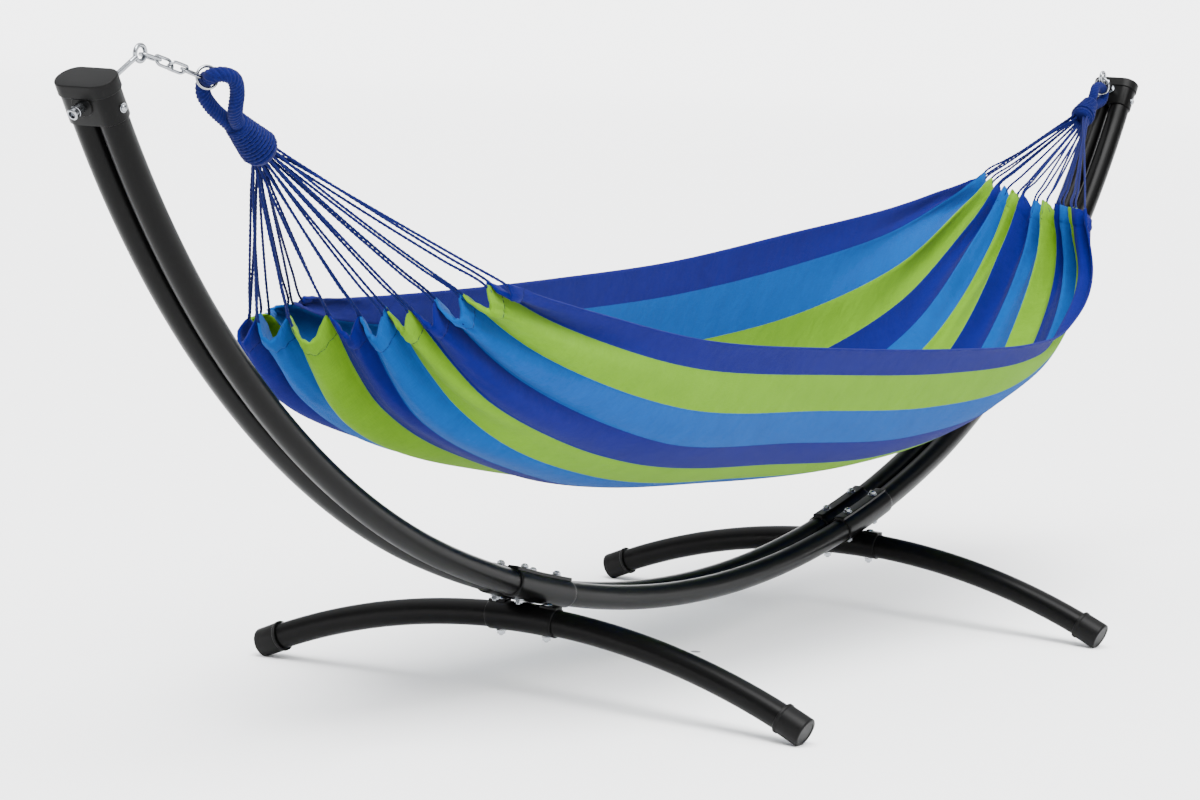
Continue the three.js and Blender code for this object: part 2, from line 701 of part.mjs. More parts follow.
const ends = [
  ["right", 0, RIGHT_EYE_DISTANCE],
  ["left", Math.PI, LEFT_EYE_DISTANCE],
];
for (const [side, turn, eyeDistance] of ends) {
  const end = new THREE.Group();
  end.rotation.z = turn;
  group.add(end);
  const rowOf = (y) => (y * Math.cos(turn) < 0 ? "front" : "rear");

  for (const y of [-ARC_ROW_Y, ARC_ROW_Y]) {
    const row = `${side}_${rowOf(y)}`;
    const holes = [boltHole(JOINT_S + SLEEVE_BOLT_OFFSET, y), endScrewHole(Math.sign(y))];
    if (y > 0) holes.push(innerScrewHole());
    addMesh(end, `arc_upper_${row}`, arcTube(upperStations, y, holes), POWDER_COAT);
    addMesh(end, `arc_sleeve_${row}`, arcSleeve(y), POWDER_COAT);
    for (const [place, offset] of [["inner", -SLEEVE_BOLT_OFFSET], ["outer", SLEEVE_BOLT_OFFSET]]) {
      const frame = arcFrame(JOINT_S + offset, y);
      const profile = boltProfile(-SLEEVE_R - GAP, STRIP_TOP + GAP, BOLT_HEAD_HEIGHT, BOLT_HEAD_R);
      const axis = new THREE.Vector3().setFromMatrixColumn(frame, 1);
      const bolt = turned(profile, local(frame, 0, SLEEVE_CHORD_RISE, 0), axis, 8);
      addMesh(end, `sleeve_bolt_${row}_${place}`, bolt, ZINC);
    }
  }

  addMesh(end, `leg_sleeve_${side}`, legSleeve(), POWDER_COAT);
  for (const legSide of [-1, 1]) {
    const row = `${side}_${rowOf(legSide)}`;
    addMesh(end, `leg_tube_${row}`, legTube(legSide), POWDER_COAT);
    addMesh(end, `foot_cap_${row}`, footCap(legSide), BLACK_PLASTIC);
    addMesh(end, `leg_bolt_${row}`, legBolt(legSide), ZINC);
    const direction = legSide < 0 ? FRONT : REAR;
    const screwAt = local(HEAD_FRAME, 0, 0, SCREW_T);
    const screw = turned(screwProfile(ARC_ROW_Y + COLLAR_R + GAP), screwAt, direction, 8);
    addMesh(end, `collar_screw_${row}`, screw, ZINC);
  }

  addMesh(end, `collar_${side}`, collar(), POWDER_COAT);
  addMesh(end, `top_cap_${side}`, topCap(), BLACK_PLASTIC);
  addMesh(end, `eye_bolt_${side}`, eyeBolt(eyeDistance), ZINC);
  addMesh(end, `barrel_nut_${side}`, barrelNut(), ZINC);
  addMesh(end, `eye_nut_${side}`, eyeNut(), ZINC);
  const innerAt = local(HEAD_FRAME, ARC_ROW_Y, 0, SCREW_T);
  const innerScrew = turned(screwProfile(COLLAR_R + GAP), innerAt, INWARD, 8);
  addMesh(end, `collar_inner_screw_${side}`, innerScrew, ZINC);
}

// The long chain on the left: four links and a ring, each turned against the one before.
const linkCentre = local(HEAD_FRAME, 0, LEFT_EYE_DISTANCE, EYE_AXIS_T).multiply(new THREE.Vector3(-1, 1, 1));
linkCentre.addScaledVector(CHAIN_DIRECTION, FIRST_LINK_FROM_EYE);
LINK_ROLLS.forEach((roll, i) => {
  if (i > 0) linkCentre.addScaledVector(CHAIN_DIRECTION, LINK_PITCH);
  const frame = rolledFrame(linkCentre, CHAIN_DIRECTION, roll);
  addMesh(group, `chain_link_left_${i + 1}`, chainLink(LINK_LENGTH, LINK_WIDTH, frame), ZINC);
});
const ringPull = CHAIN_DIRECTION.clone()
  .addScaledVector(RING_NORMAL, -CHAIN_DIRECTION.dot(RING_NORMAL))
  .normalize();
const ringCentre = linkCentre
  .clone()
  .addScaledVector(CHAIN_DIRECTION, RING_WIRE_FROM_LINK)
  .addScaledVector(ringPull, RING_R);
const ringSide = new THREE.Vector3().crossVectors(RING_NORMAL, ringPull);
const ring = new THREE.TorusGeometry(RING_R, WIRE_R, 6, 16);
ring.applyMatrix4(frameOf(ringCentre, ringPull, ringSide, RING_NORMAL));
addMesh(group, "chain_ring_left", ring, ZINC);

// The single wide link on the right hangs straight down from its eye.
const rightLinkCentre = local(HEAD_FRAME, 0, RIGHT_EYE_DISTANCE, EYE_AXIS_T);
rightLinkCentre.add(new THREE.Vector3(0, 0, WIRE_R - RIGHT_LINK_SEAT - RIGHT_LINK_LENGTH / 2));
const rightLinkFrame = rolledFrame(rightLinkCentre, new THREE.Vector3(0, 0, -1), RIGHT_LINK_ROLL);
const rightLink = chainLink(RIGHT_LINK_LENGTH, RIGHT_LINK_WIDTH, rightLinkFrame);
addMesh(group, "chain_link_right", rightLink, ZINC);

const LEFT_WHIP = [[-1522, 0, 1036], [-1446, 0, 988]];
const RIGHT_WHIP = [[1736, 0, 1060], [1683, 0, 1020]];
const leftLoop = [
  [-1524, -4, 1034], [-1540, -12, 1044], [-1557, -25, 1062], [-1568, -36, 1086], [-1584, -41, 1104],
  [-1602, -35, 1109], [-1609, -22, 1107], [-1602.5, -10.4, 1103.4], [-1596, 3, 1099.5], [-1589, 10, 1080],
  [-1568, 9, 1060], [-1542, 5, 1042],
];
const rightLoop = [
  [1739, -3, 1058], [1742, -3, 1078], [1757, -1, 1091], [1777, 0, 1093.6], [1795.5, 0, 1090.8],
  [1808.4, 0, 1079], [1803, 1, 1063.5], [1780, 3, 1056], [1756, 4, 1051],
];
addMesh(group, "rope_loop_left", ropeLoop(leftLoop, ...LEFT_WHIP, 15, 26), ROPE);
addMesh(group, "rope_loop_right", ropeLoop(rightLoop, ...RIGHT_WHIP, 14, 23), ROPE);

const cloth = clothGrid();
addMesh(group, "hammock_bed", shell(cloth, CLOTH_THICKNESS), CLOTH);
const fanGrids = [
  ["left", cloth[0], cloth[1], LEFT_WHIP],
  ["right", cloth.at(-1), cloth.at(-2), RIGHT_WHIP],
];
for (const [side, hem, nextRow, whip] of fanGrids) {
  const [from, to] = vectors(whip);
  const whipDirection = to.clone().sub(from).normalize();
  const grid = cordFan(hem, nextRow, whip[1], whipDirection);
  if (side === "right") grid.reverse();
  addMesh(group, `cord_fan_${side}`, shell(grid, FAN_THICKNESS), ROPE);
}

export default group;
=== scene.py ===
"""Striped cloth hammock on a black twin-tube arc stand, with its chains, rope loops and cords.

Sizes are millimetres in this file and metres in the scene. -X is the end with the long chain, -Y the front.
"""

import math
import random

import bpy
import numpy as np
from mathutils import Matrix, Vector


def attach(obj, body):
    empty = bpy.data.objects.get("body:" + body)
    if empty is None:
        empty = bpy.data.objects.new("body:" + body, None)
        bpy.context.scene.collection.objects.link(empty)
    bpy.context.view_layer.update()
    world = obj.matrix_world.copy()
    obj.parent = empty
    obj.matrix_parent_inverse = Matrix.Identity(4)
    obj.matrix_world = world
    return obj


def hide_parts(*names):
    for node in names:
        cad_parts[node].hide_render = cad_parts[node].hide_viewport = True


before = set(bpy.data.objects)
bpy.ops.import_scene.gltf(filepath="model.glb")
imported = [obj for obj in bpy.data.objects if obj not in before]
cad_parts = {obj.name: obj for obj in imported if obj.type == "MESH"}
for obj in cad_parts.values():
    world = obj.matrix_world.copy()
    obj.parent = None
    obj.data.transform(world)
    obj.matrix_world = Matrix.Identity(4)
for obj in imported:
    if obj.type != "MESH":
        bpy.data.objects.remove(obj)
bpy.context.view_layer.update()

MM = 0.001
chance = random.Random(7)

# ---- Driving dimensions --------------------------------------------------------------------------
ARC_LOW_Z = 130.2
ARC_MID_RADIUS = 2725
ARC_MID_HALF = 937.7
ARC_END_RADIUS = 1791.5
ARC_HALF_LENGTH = 2226
ARC_ROW_Y = 25
ARC_TUBE_R = 23
ARC_TUBE_TOP = 2187
JOINT_S = 631.1
SLEEVE_HALF = 95
SLEEVE_R = 26
STRIP_HALF_WIDTH = 11
STRIP_TOP = 29.5
SLEEVE_BOLT_OFFSET = 56
BOLT_HEX = 12.6
LEG_X = 625.5
LEG_RADIUS = 1396
LEG_TOP_Z = 147.3
LEG_TUBE_R = 24
LEG_END_ANGLE = math.radians(24.4)
LEG_LENGTH = LEG_RADIUS * LEG_END_ANGLE
LEG_SLEEVE_HALF = 70
LEG_SLEEVE_R = 27
LEG_BOLT_Y = 48
PAD_FROM = 36
PAD_HEIGHT = 2.3
PAD_HALF_WIDTH = 11
FOOT_LENGTH = 52
FOOT_R = 27.5
FOOT_LIP_R = 28.7
HEAD_S = ARC_HALF_LENGTH - 58
COLLAR_R = 26
COLLAR_FROM = -11
COLLAR_TO = 55
CAP_R = 28.3
CAP_FROM = 36
CAP_TO = 58
BOSS_R = 18
BOSS_OUT = 28.5
EYE_AXIS_T = 24
EYE_DISTANCE = {"left": 124, "right": 80}
EYE_RING_R = 12
EYE_WIRE_R = 3.5
EYE_ROD_R = 4
THREAD_PITCH = 1.4
BARREL_R = 9
BARREL_OUT = 53
EYE_NUT_TO = 58
SCREW_T = 8
WIRE_R = 2.5
LINK_LENGTH = 45
LINK_WIDTH = 21
LINK_PITCH = 34.1
CHAIN_DIRECTION = np.array([0.9744, 0, -0.2248])
FIRST_LINK_FROM_EYE = 24.2
LINK_ROLLS = [90, 152, 46, 112]
RING_R = 17
RING_NORMAL = np.array([0.5, 0.85, -0.15])
RING_WIRE_FROM_LINK = 14.4
RIGHT_LINK_LENGTH = 42
RIGHT_LINK_WIDTH = 37
RIGHT_LINK_SEAT = 2.6
ROPE_R = 12.2
WRAP_R = 3.6
WRAP_PITCH = 7.4
CORD_D = 5.2
CORD_PITCH = 11.0
FAN_OPENING = 250
INNER_SLOTS = 0.58
STRIPES = 13
RIM_STRIPE = 0.72
INNER_EDGES = np.linspace(RIM_STRIPE, STRIPES - RIM_STRIPE, STRIPES - 1)
STRIPE_EDGES = np.concatenate([[0], INNER_EDGES, [STRIPES]]) / STRIPES
CHANNEL = 40
# The flat cloth's width, in metres like its texture coordinates.
CLOTH_WIDTH = 1.08


# ---- Materials -----------------------------------------------------------------------------------
def linear(hex_colour):
    """The linear RGBA of an sRGB hex colour."""
    parts = [int(hex_colour[i : i + 2], 16) / 255 for i in (1, 3, 5)]
    return [c / 12.92 if c <= 0.04045 else ((c + 0.055) / 1.055) ** 2.4 for c in parts] + [1]


def add(tree, kind, **values):
    """A new node: plain values set properties or sockets, (node, output) pairs are linked to sockets."""
    node = tree.nodes.new(kind)
    for key, value in values.items():
        name = key.replace("_", " ")
        socket = node.inputs.get(name) or node.inputs.get(name.title())
        if key.startswith("in") and key[2:].isdigit():
            socket = node.inputs[int(key[2:])]
        if socket is None:
            setattr(node, key, value)
        elif isinstance(value, tuple):
            tree.links.new(value[0].outputs[value[1]], socket)
        else:
            socket.default_value = value
    return node


def new_material(name):
    material = bpy.data.materials.new(name)
    material.use_nodes = True
    tree = material.node_tree
    tree.nodes.clear()
    shader = add(tree, "ShaderNodeBsdfPrincipled")
    output = add(tree, "ShaderNodeOutputMaterial")
    tree.links.new(shader.outputs[0], output.inputs[0])
    return material, tree, shader


def link(tree, source, output, target, socket):
    tree.links.new(source.outputs[output], target.inputs[socket])


def coated(name, colour, rough_low, rough_high, grain_mm, bump_mm, specular):
    """A dark coating: a grain of the given size, and a roughness that wanders over the piece."""
    material, tree, shader = new_material(name)
    place = add(tree, "ShaderNodeTexCoord")
    broad = add(tree, "ShaderNodeTexNoise", Vector=(place, "Object"), Scale=9.0, Detail=3.0)
    spread = add(tree, "ShaderNodeMapRange", in0=(broad, 0), in1=0.3, in2=0.7, in3=rough_low, in4=rough_high)
    link(tree, spread, 0, shader, "Roughness")
    grain = add(tree, "ShaderNodeTexNoise", Vector=(place, "Object"), Scale=1 / (grain_mm * MM), Detail=2.0)
    bump = add(tree, "ShaderNodeBump", Height=(grain, 0), Strength=0.35, Distance=bump_mm * MM)
    link(tree, bump, 0, shader, "Normal")
    specks = add(tree, "ShaderNodeTexNoise", Vector=(place, "Object"), Scale=900.0, Detail=1.0)
    tone = add(tree, "ShaderNodeMapRange", in0=(specks, 0), in1=0.35, in2=0.75, in3=0.8, in4=1.5)
    base = add(tree, "ShaderNodeVectorMath", operation="SCALE", in0=linear(colour)[:3])
    link(tree, tone, 0, base, "Scale")
    link(tree, base, 0, shader, "Base Color")
    shader.inputs["Specular IOR Level"].default_value = specular
    return material


# Satin black powder coat: near-black, soft long highlights with a slight orange peel.
POWDER = coated("satin_black_powder_coat", "#040404", 0.28, 0.36, 2.2, 0.02, 0.07)
# Moulded black plastic of the caps and feet: duller, with a fine matt grain.
PLASTIC = coated("moulded_black_plastic", "#050505", 0.4, 0.5, 0.8, 0.04, 0.09)


def zinc_plate():
    """Bright zinc plate: a pale cool metal, slightly clouded, with faint scratches."""
    material, tree, shader = new_material("bright_zinc_plate")
    place = add(tree, "ShaderNodeTexCoord")
    cloud = add(tree, "ShaderNodeTexNoise", Vector=(place, "Object"), Scale=120.0, Detail=4.0)
    rough = add(tree, "ShaderNodeMapRange", in0=(cloud, 0), in1=0.3, in2=0.7, in3=0.14, in4=0.26)
    link(tree, rough, 0, shader, "Roughness")
    tone = add(tree, "ShaderNodeMapRange", in0=(cloud, 0), in1=0.3, in2=0.7, in3=0.82, in4=1.08)
    base = add(tree, "ShaderNodeVectorMath", operation="SCALE", in0=linear("#8d9094")[:3])
    link(tree, tone, 0, base, "Scale")
    link(tree, base, 0, shader, "Base Color")
    scratch = add(tree, "ShaderNodeTexNoise", Vector=(place, "Object"), Scale=700.0, Detail=2.0)
    bump = add(tree, "ShaderNodeBump", Height=(scratch, 0), Strength=0.2, Distance=0.02 * MM)
    link(tree, bump, 0, shader, "Normal")
    shader.inputs["Metallic"].default_value = 1.0
    return material


ZINC = zinc_plate()

NAVY = "#060b54"
AZURE = "#003c7a"
LIME = "#547c12"
STRIPE_COLOURS = [NAVY, LIME, AZURE] * 4 + [NAVY]
# Metres of the flat cloth: the pitch of its threads each way, and how far the edge of a stripe wanders.
THREAD_PITCHES = (0.0016, 0.0019)
EDGE_WANDER = 0.0016


def striped_cotton():
    """Woven cotton in flat stripes: visible threads, heathered tone along the warp and a soft fuzzy sheen."""
    material, tree, shader = new_material("striped_woven_cotton")
    flat = add(tree, "ShaderNodeUVMap", uv_map="flat_metres")
    parts = add(tree, "ShaderNodeSeparateXYZ", Vector=(flat, 0))
    wander = add(tree, "ShaderNodeTexNoise", Vector=(flat, 0), Scale=160.0, Detail=2.0)
    shake = add(tree, "ShaderNodeMath", operation="MULTIPLY_ADD", in0=(wander, 0), in1=EDGE_WANDER)
    shake.inputs[2].default_value = -EDGE_WANDER / 2
    across = add(tree, "ShaderNodeMath", operation="ADD", in0=(parts, 0), in1=(shake, 0))
    share = add(tree, "ShaderNodeMath", operation="DIVIDE", in0=(across, 0), in1=CLOTH_WIDTH)
    ramp = add(tree, "ShaderNodeValToRGB", Fac=(share, 0))
    ramp.color_ramp.interpolation = "CONSTANT"
    stops = ramp.color_ramp.elements
    while len(stops) < STRIPES:
        stops.new(0.5)
    for i, stop in enumerate(stops):
        stop.position = STRIPE_EDGES[i]
        stop.color = linear(STRIPE_COLOURS[i])
    threads = []
    for axis, pitch in enumerate(THREAD_PITCHES):
        turn = add(tree, "ShaderNodeMath", operation="MULTIPLY", in0=(parts, axis), in1=2 * math.pi / pitch)
        threads.append(add(tree, "ShaderNodeMath", operation="SINE", in0=(turn, 0)))
    weave = add(tree, "ShaderNodeMath", operation="MULTIPLY", in0=(threads[0], 0), in1=(threads[1], 0))
    stretch = add(tree, "ShaderNodeMapping", Vector=(flat, 0))
    stretch.inputs["Scale"].default_value = (900, 60, 1)
    heather = add(tree, "ShaderNodeTexNoise", Vector=(stretch, 0), Scale=1.0, Detail=3.0)
    cross = add(tree, "ShaderNodeMapping", Vector=(flat, 0))
    cross.inputs["Scale"].default_value = (40, 420, 1)
    slub = add(tree, "ShaderNodeTexNoise", Vector=(cross, 0), Scale=1.0, Detail=3.0)
    broad = add(tree, "ShaderNodeTexNoise", Vector=(flat, 0), Scale=14.0, Detail=4.0)
    tone = add(tree, "ShaderNodeMath", operation="MULTIPLY_ADD", in0=(heather, 0), in1=0.42)
    tone.inputs[2].default_value = 0.46
    tone2 = add(tree, "ShaderNodeMath", operation="MULTIPLY_ADD", in0=(slub, 0), in1=0.34, in2=(tone, 0))
    tone3 = add(tree, "ShaderNodeMath", operation="MULTIPLY_ADD", in0=(broad, 0), in1=0.3, in2=(tone2, 0))
    tone4 = add(tree, "ShaderNodeMath", operation="MULTIPLY_ADD", in0=(weave, 0), in1=0.09, in2=(tone3, 0))
    base = add(tree, "ShaderNodeVectorMath", operation="SCALE", in0=(ramp, 0))
    link(tree, tone4, 0, base, "Scale")
    link(tree, base, 0, shader, "Base Color")
    fine = add(tree, "ShaderNodeMath", operation="MULTIPLY_ADD", in0=(slub, 0), in1=1.2, in2=(weave, 0))
    bump = add(tree, "ShaderNodeBump", Height=(fine, 0), Strength=0.5, Distance=0.35 * MM)
    crumple = add(tree, "ShaderNodeTexNoise", Vector=(flat, 0), Scale=38.0, Detail=5.0)
    bump2 = add(tree, "ShaderNodeBump", Height=(crumple, 0), Normal=(bump, 0), Strength=0.45, Distance=4 * MM)
    link(tree, bump2, 0, shader, "Normal")
    shader.inputs["Roughness"].default_value = 0.88
    shader.inputs["Specular IOR Level"].default_value = 0.06
    shader.inputs["Sheen Weight"].default_value = 0.03
    shader.inputs["Sheen Roughness"].default_value = 0.5
    return material


def spun_cord(name, colour, fibre_scale):
    """Spun cotton cord: matt, with fine fibres along it and a little light fuzz on its edge."""
    material, tree, shader = new_material(name)
    place = add(tree, "ShaderNodeTexCoord")
    fibre = add(tree, "ShaderNodeTexNoise", Vector=(place, "Object"), Scale=fibre_scale, Detail=4.0)
    tone = add(tree, "ShaderNodeMapRange", in0=(fibre, 0), in1=0.3, in2=0.7, in3=0.6, in4=1.35)
    base = add(tree, "ShaderNodeVectorMath", operation="SCALE", in0=linear(colour)[:3])
    link(tree, tone, 0, base, "Scale")
    link(tree, base, 0, shader, "Base Color")
    bump = add(tree, "ShaderNodeBump", Height=(fibre, 0), Strength=0.6, Distance=0.5 * MM)
    link(tree, bump, 0, shader, "Normal")
    shader.inputs["Roughness"].default_value = 0.9
    shader.inputs["Specular IOR Level"].default_value = 0.06
    shader.inputs["Sheen Weight"].default_value = 0.04
    return material


# Dark navy twisted cord of the fans, loops and whippings.
CORD = spun_cord("navy_twisted_cord", "#070e42", 420.0)
# A slightly darker sewing thread in the hems.
THREAD = spun_cord("navy_sewing_thread", "#060b36", 900.0)


# ---- Meshes --------------------------------------------------------------------------------------
def vec(*xyz):
    return np.array(xyz, float)


def unit(v):
    v = np.asarray(v, float)
    return v / np.linalg.norm(v)


def ring_faces(rings, count, joined=False, capped=True):
    faces = []
    bands = rings if joined else rings - 1
    for i in range(bands):
        low = i * count
        high = ((i + 1) % rings) * count
        for k in range(count):
            after = (k + 1) % count
            faces.append((low + k, low + after, high + after, high + k))
    if capped and not joined:
        faces.append(tuple(range(count - 1, -1, -1)))
        faces.append(tuple((rings - 1) * count + k for k in range(count)))
    return faces


def swept(frames, sections, joined=False):
    """A skin over sections, each a list of (a, b) in its frame (origin, a axis, b axis)."""
    points = []
    for i, (origin, a_axis, b_axis) in enumerate(frames):
        section = sections[i] if isinstance(sections, list) else sections
        points.append(origin + np.outer(section[:, 0], a_axis) + np.outer(section[:, 1], b_axis))
    count = len(points[0])
    return np.concatenate(points), ring_faces(len(frames), count, joined)


def circle(radius, count=40):
    angles = np.linspace(0, 2 * math.pi, count, endpoint=False)
    return np.stack([radius * np.cos(angles), radius * np.sin(angles)], 1)


def turned(profile, origin, axis, count=32):
    """A turned piece from (radius, height) pairs; its axis points along the given direction."""
    axis = unit(axis)
    side = unit(np.cross(axis, vec(0.3, 0.9, 0.2)))
    other = np.cross(axis, side)
    frames = [(origin + axis * h, side, other) for _, h in profile]
    sections = [circle(max(r, 0.02), count) for r, _ in profile]
    return swept(frames, sections)


def hexagon(width, low, high, origin, axis, turn=0.0, chamfer=0.9):
    """A six-sided nut or bolt head with chamfered corners."""
    axis = unit(axis)
    side = unit(np.cross(axis, vec(0.1, 0.97, 0.05)))
    other = np.cross(axis, side)
    corner = width / math.sqrt(3)
    cut = 1 - chamfer / corner
    sections = []
    frames = []
    for height, scale in ((low, cut), (low + chamfer * 0.6, 1), (high - chamfer * 0.6, 1), (high, cut)):
        angles = np.arange(6) * math.pi / 3 + turn
        sections.append(np.stack([corner * scale * np.cos(angles), corner * scale * np.sin(angles)], 1))
        frames.append((origin + axis * height, side, other))
    return swept(frames, sections)


def combine(parts):
    points = []
    faces = []
    for part_points, part_faces in parts:
        base = sum(len(p) for p in points)
        points.append(part_points)
        faces.extend(tuple(base + i for i in face) for face in part_faces)
    return np.concatenate(points), faces


def piece(name, shape, material, body, slot_name, nodes=(), sharp_degrees=35, uv=None):
    """One shown object of the hammock or its stand."""
    points, faces = shape
    mesh = bpy.data.meshes.new(name)
    mesh.from_pydata((points * MM).tolist(), [], faces)
    if uv is not None:
        layer = mesh.uv_layers.new(name="flat_metres")
        order = np.zeros(len(mesh.loops), np.int32)
        mesh.loops.foreach_get("vertex_index", order)
        layer.data.foreach_set("uv", uv[order].astype(np.float32).ravel())
    mesh.materials.append(material)
    mesh.shade_smooth()
    mesh.update()
    made = bpy.data.objects.new(name, mesh)
    bpy.context.scene.collection.objects.link(made)
    if sharp_degrees:
        mesh.set_sharp_from_angle(angle=math.radians(sharp_degrees))
    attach(made, body)
    if nodes:
        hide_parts(*nodes)
    return made


def stand_piece(node, shape, material=POWDER, slot_name="powder_coat", **extra):
    return piece(node + "_fine", shape, material, "stand", slot_name, (node,), **extra)


def placed(shape, sign):
    """The shape as built on the right, or turned half round the vertical for the left."""
    points, faces = shape
    return points * vec(sign, sign, 1), faces


# ---- The arc and its sleeves ---------------------------------------------------------------------
def arc_frame(s, y):
    along = abs(s)
    mid_angle = min(along, ARC_MID_HALF) / ARC_MID_RADIUS
    angle = mid_angle
    x = ARC_MID_RADIUS * math.sin(mid_angle)
    z = ARC_LOW_Z + ARC_MID_RADIUS * (1 - math.cos(mid_angle))
    if along > ARC_MID_HALF:
        angle += (along - ARC_MID_HALF) / ARC_END_RADIUS
        x += ARC_END_RADIUS * (math.sin(angle) - math.sin(mid_angle))
        z += ARC_END_RADIUS * (math.cos(mid_angle) - math.cos(angle))
    sign = -1 if s < 0 else 1
    angle *= sign
    inward = vec(-math.sin(angle), 0, math.cos(angle))
    tangent = vec(math.cos(angle), 0, math.sin(angle))
    return vec(sign * x, y, z), vec(0, 1, 0), inward, tangent


def arc_sweep(stations, y, sections):
    return swept([arc_frame(s, y)[:3] for s in stations], sections)


def strip_section(radius, top, half_width, corner):
    """A circle with a flat raised strip along its upper side."""
    base_angle = math.acos(half_width / radius)
    base = radius * math.sin(base_angle)
    points = [(half_width, base), (half_width, top - corner)]
    for k in range(1, 4):
        turn = k / 4 * math.pi / 2
        points.append((half_width - corner + corner * math.cos(turn), top - corner + corner * math.sin(turn)))
    points.append((half_width - corner, top))
    points.append((0, top))
    points.extend([(-a, b) for a, b in reversed(points[:-1])])
    around = np.linspace(math.pi - base_angle, 2 * math.pi + base_angle, 36)[1:-1]
    points.extend((radius * math.cos(t), radius * math.sin(t)) for t in around)
    return np.array(points)


def sleeve(y):
    section = strip_section(SLEEVE_R, STRIP_TOP, STRIP_HALF_WIDTH, 1.6)
    offsets = [-SLEEVE_HALF, -SLEEVE_HALF + 0.5, -SLEEVE_HALF + 1.4]
    offsets += list(np.linspace(-SLEEVE_HALF + 8, SLEEVE_HALF - 8, 12))
    offsets += [SLEEVE_HALF - 1.4, SLEEVE_HALF - 0.5, SLEEVE_HALF]
    scales = [0.955, 0.985, 1] + [1] * 12 + [1, 0.985, 0.955]
    sections = []
    for scale in scales:
        cut = section * scale
        limit = ARC_ROW_Y - 0.15
        cut[:, 0] = np.maximum(cut[:, 0], -limit) if y > 0 else np.minimum(cut[:, 0], limit)
        sections.append(cut)
    return arc_sweep([JOINT_S + o for o in offsets], y, sections)


def through_bolt(origin, axis, head_base, head_height, nut_top, turn):
    """A hex-headed bolt with a domed nut on top and a washer at each end."""
    low = nut_top - head_height
    washer = [(0, head_base), (9.2, head_base), (9.2, head_base + 1),
              (8.8, head_base + 1.4), (0, head_base + 1.4)]
    dome = [(5.6, head_base + 5.6), (5.4, head_base + 6.8), (4.4, head_base + 7.8),
            (2.4, head_base + 8.5), (0, head_base + 8.7)]
    lower_washer = [(0, nut_top - 1.4), (8.8, nut_top - 1.4), (9.2, nut_top - 1),
                    (9.2, nut_top), (0, nut_top)]
    shank_tip = [(0, low - 3), (3.2, low - 2.6), (4, low - 1.5), (4, nut_top), (0, nut_top)]
    return combine([
        turned(washer, origin, axis),
        hexagon(BOLT_HEX, head_base + 1.4, head_base + 6, origin, axis, turn),
        turned([(0, head_base + 5)] + dome, origin, axis),
        turned(lower_washer, origin, axis),
        hexagon(BOLT_HEX, low, nut_top - 1.4, origin, axis, turn + 0.4),
        turned(shank_tip, origin, axis),
    ])


MIDDLE_STATIONS = np.linspace(0.3 - JOINT_S, JOINT_S - 0.3, 60)
UPPER_STATIONS = np.linspace(JOINT_S + 0.3, ARC_TUBE_TOP, 76)
for row, y in (("front", -ARC_ROW_Y), ("rear", ARC_ROW_Y)):
    stand_piece(f"arc_middle_{row}", arc_sweep(MIDDLE_STATIONS, y, circle(ARC_TUBE_R, 48)))

HEAD_ORIGIN, ACROSS, INWARD, ALONG = arc_frame(HEAD_S, 0)
EYE_BASE = HEAD_ORIGIN + ALONG * EYE_AXIS_T


def head_point(a, b, t):
    return HEAD_ORIGIN + ACROSS * a + INWARD * b + ALONG * t


def stadium(radius, pull=ARC_ROW_Y, count=44):
    points = []
    half = count // 2
    for side in (1, -1):
        for i in range(half + 1):
            angle = (i / half - 0.5) * math.pi + (math.pi if side < 0 else 0)
            points.append((side * pull + radius * math.cos(angle), radius * math.sin(angle)))
    return np.array(points)


def stadium_stack(levels):
    """A solid over stadium outlines, from (radius, height) pairs."""
    frames = [(HEAD_ORIGIN + ALONG * t, ACROSS, INWARD) for _, t in levels]
    return swept(frames, [stadium(r) for r, _ in levels])


def collar():
    body = stadium_stack([
        (COLLAR_R - 2.4, COLLAR_FROM + 1.5), (COLLAR_R - 2.2, COLLAR_FROM), (COLLAR_R - 0.8, COLLAR_FROM),
        (COLLAR_R - 0.2, COLLAR_FROM + 0.4), (COLLAR_R, COLLAR_FROM + 1.1), (COLLAR_R, COLLAR_TO),
    ])
    boss_points, boss_faces = turned(
        [(0, 20), (BOSS_R + 1.5, 20), (BOSS_R + 1.2, COLLAR_R - 0.6), (BOSS_R, COLLAR_R + 0.4),
         (BOSS_R, BOSS_OUT - 0.8), (BOSS_R - 0.8, BOSS_OUT), (0, BOSS_OUT)],
        EYE_BASE, -INWARD, 48,
    )
    height = (boss_points - HEAD_ORIGIN) @ ALONG
    over = np.maximum(height - (CAP_FROM - 0.5), 0)
    return combine([body, (boss_points - np.outer(over, ALONG), boss_faces)])


def top_cap():
    edge = 2.2
    levels = [(CAP_R - 2, CAP_FROM + 1), (CAP_R - 1.6, CAP_FROM),
              (CAP_R - 0.5, CAP_FROM), (CAP_R, CAP_FROM + 0.6)]
    for k in range(6):
        turn = k / 5 * math.pi / 2
        levels.append((CAP_R - edge * (1 - math.cos(turn)), CAP_TO - 0.8 - edge * (1 - math.sin(turn))))
    levels += [(CAP_R - 5, CAP_TO - 0.5), (CAP_R - 14, CAP_TO - 0.1), (CAP_R - 26, CAP_TO)]
    return stadium_stack(levels)


def wire_path(centre, a_axis, b_axis, length, width, count=72):
    """The centreline of an oval link: two straights and two half circles."""
    radius = width / 2 - WIRE_R
    straight = length - width
    perimeter = 2 * straight + 2 * math.pi * radius
    points = []
    for i in range(count):
        distance = i / count * perimeter
        sign = 1
        if distance >= perimeter / 2:
            distance -= perimeter / 2
            sign = -1
        if distance < straight:
            a, b = distance - straight / 2, -radius
        else:
            turn = (distance - straight) / radius - math.pi / 2
            a, b = straight / 2 + radius * math.cos(turn), radius * math.sin(turn)
        points.append(centre + a_axis * sign * a + b_axis * sign * b)
    return np.array(points)


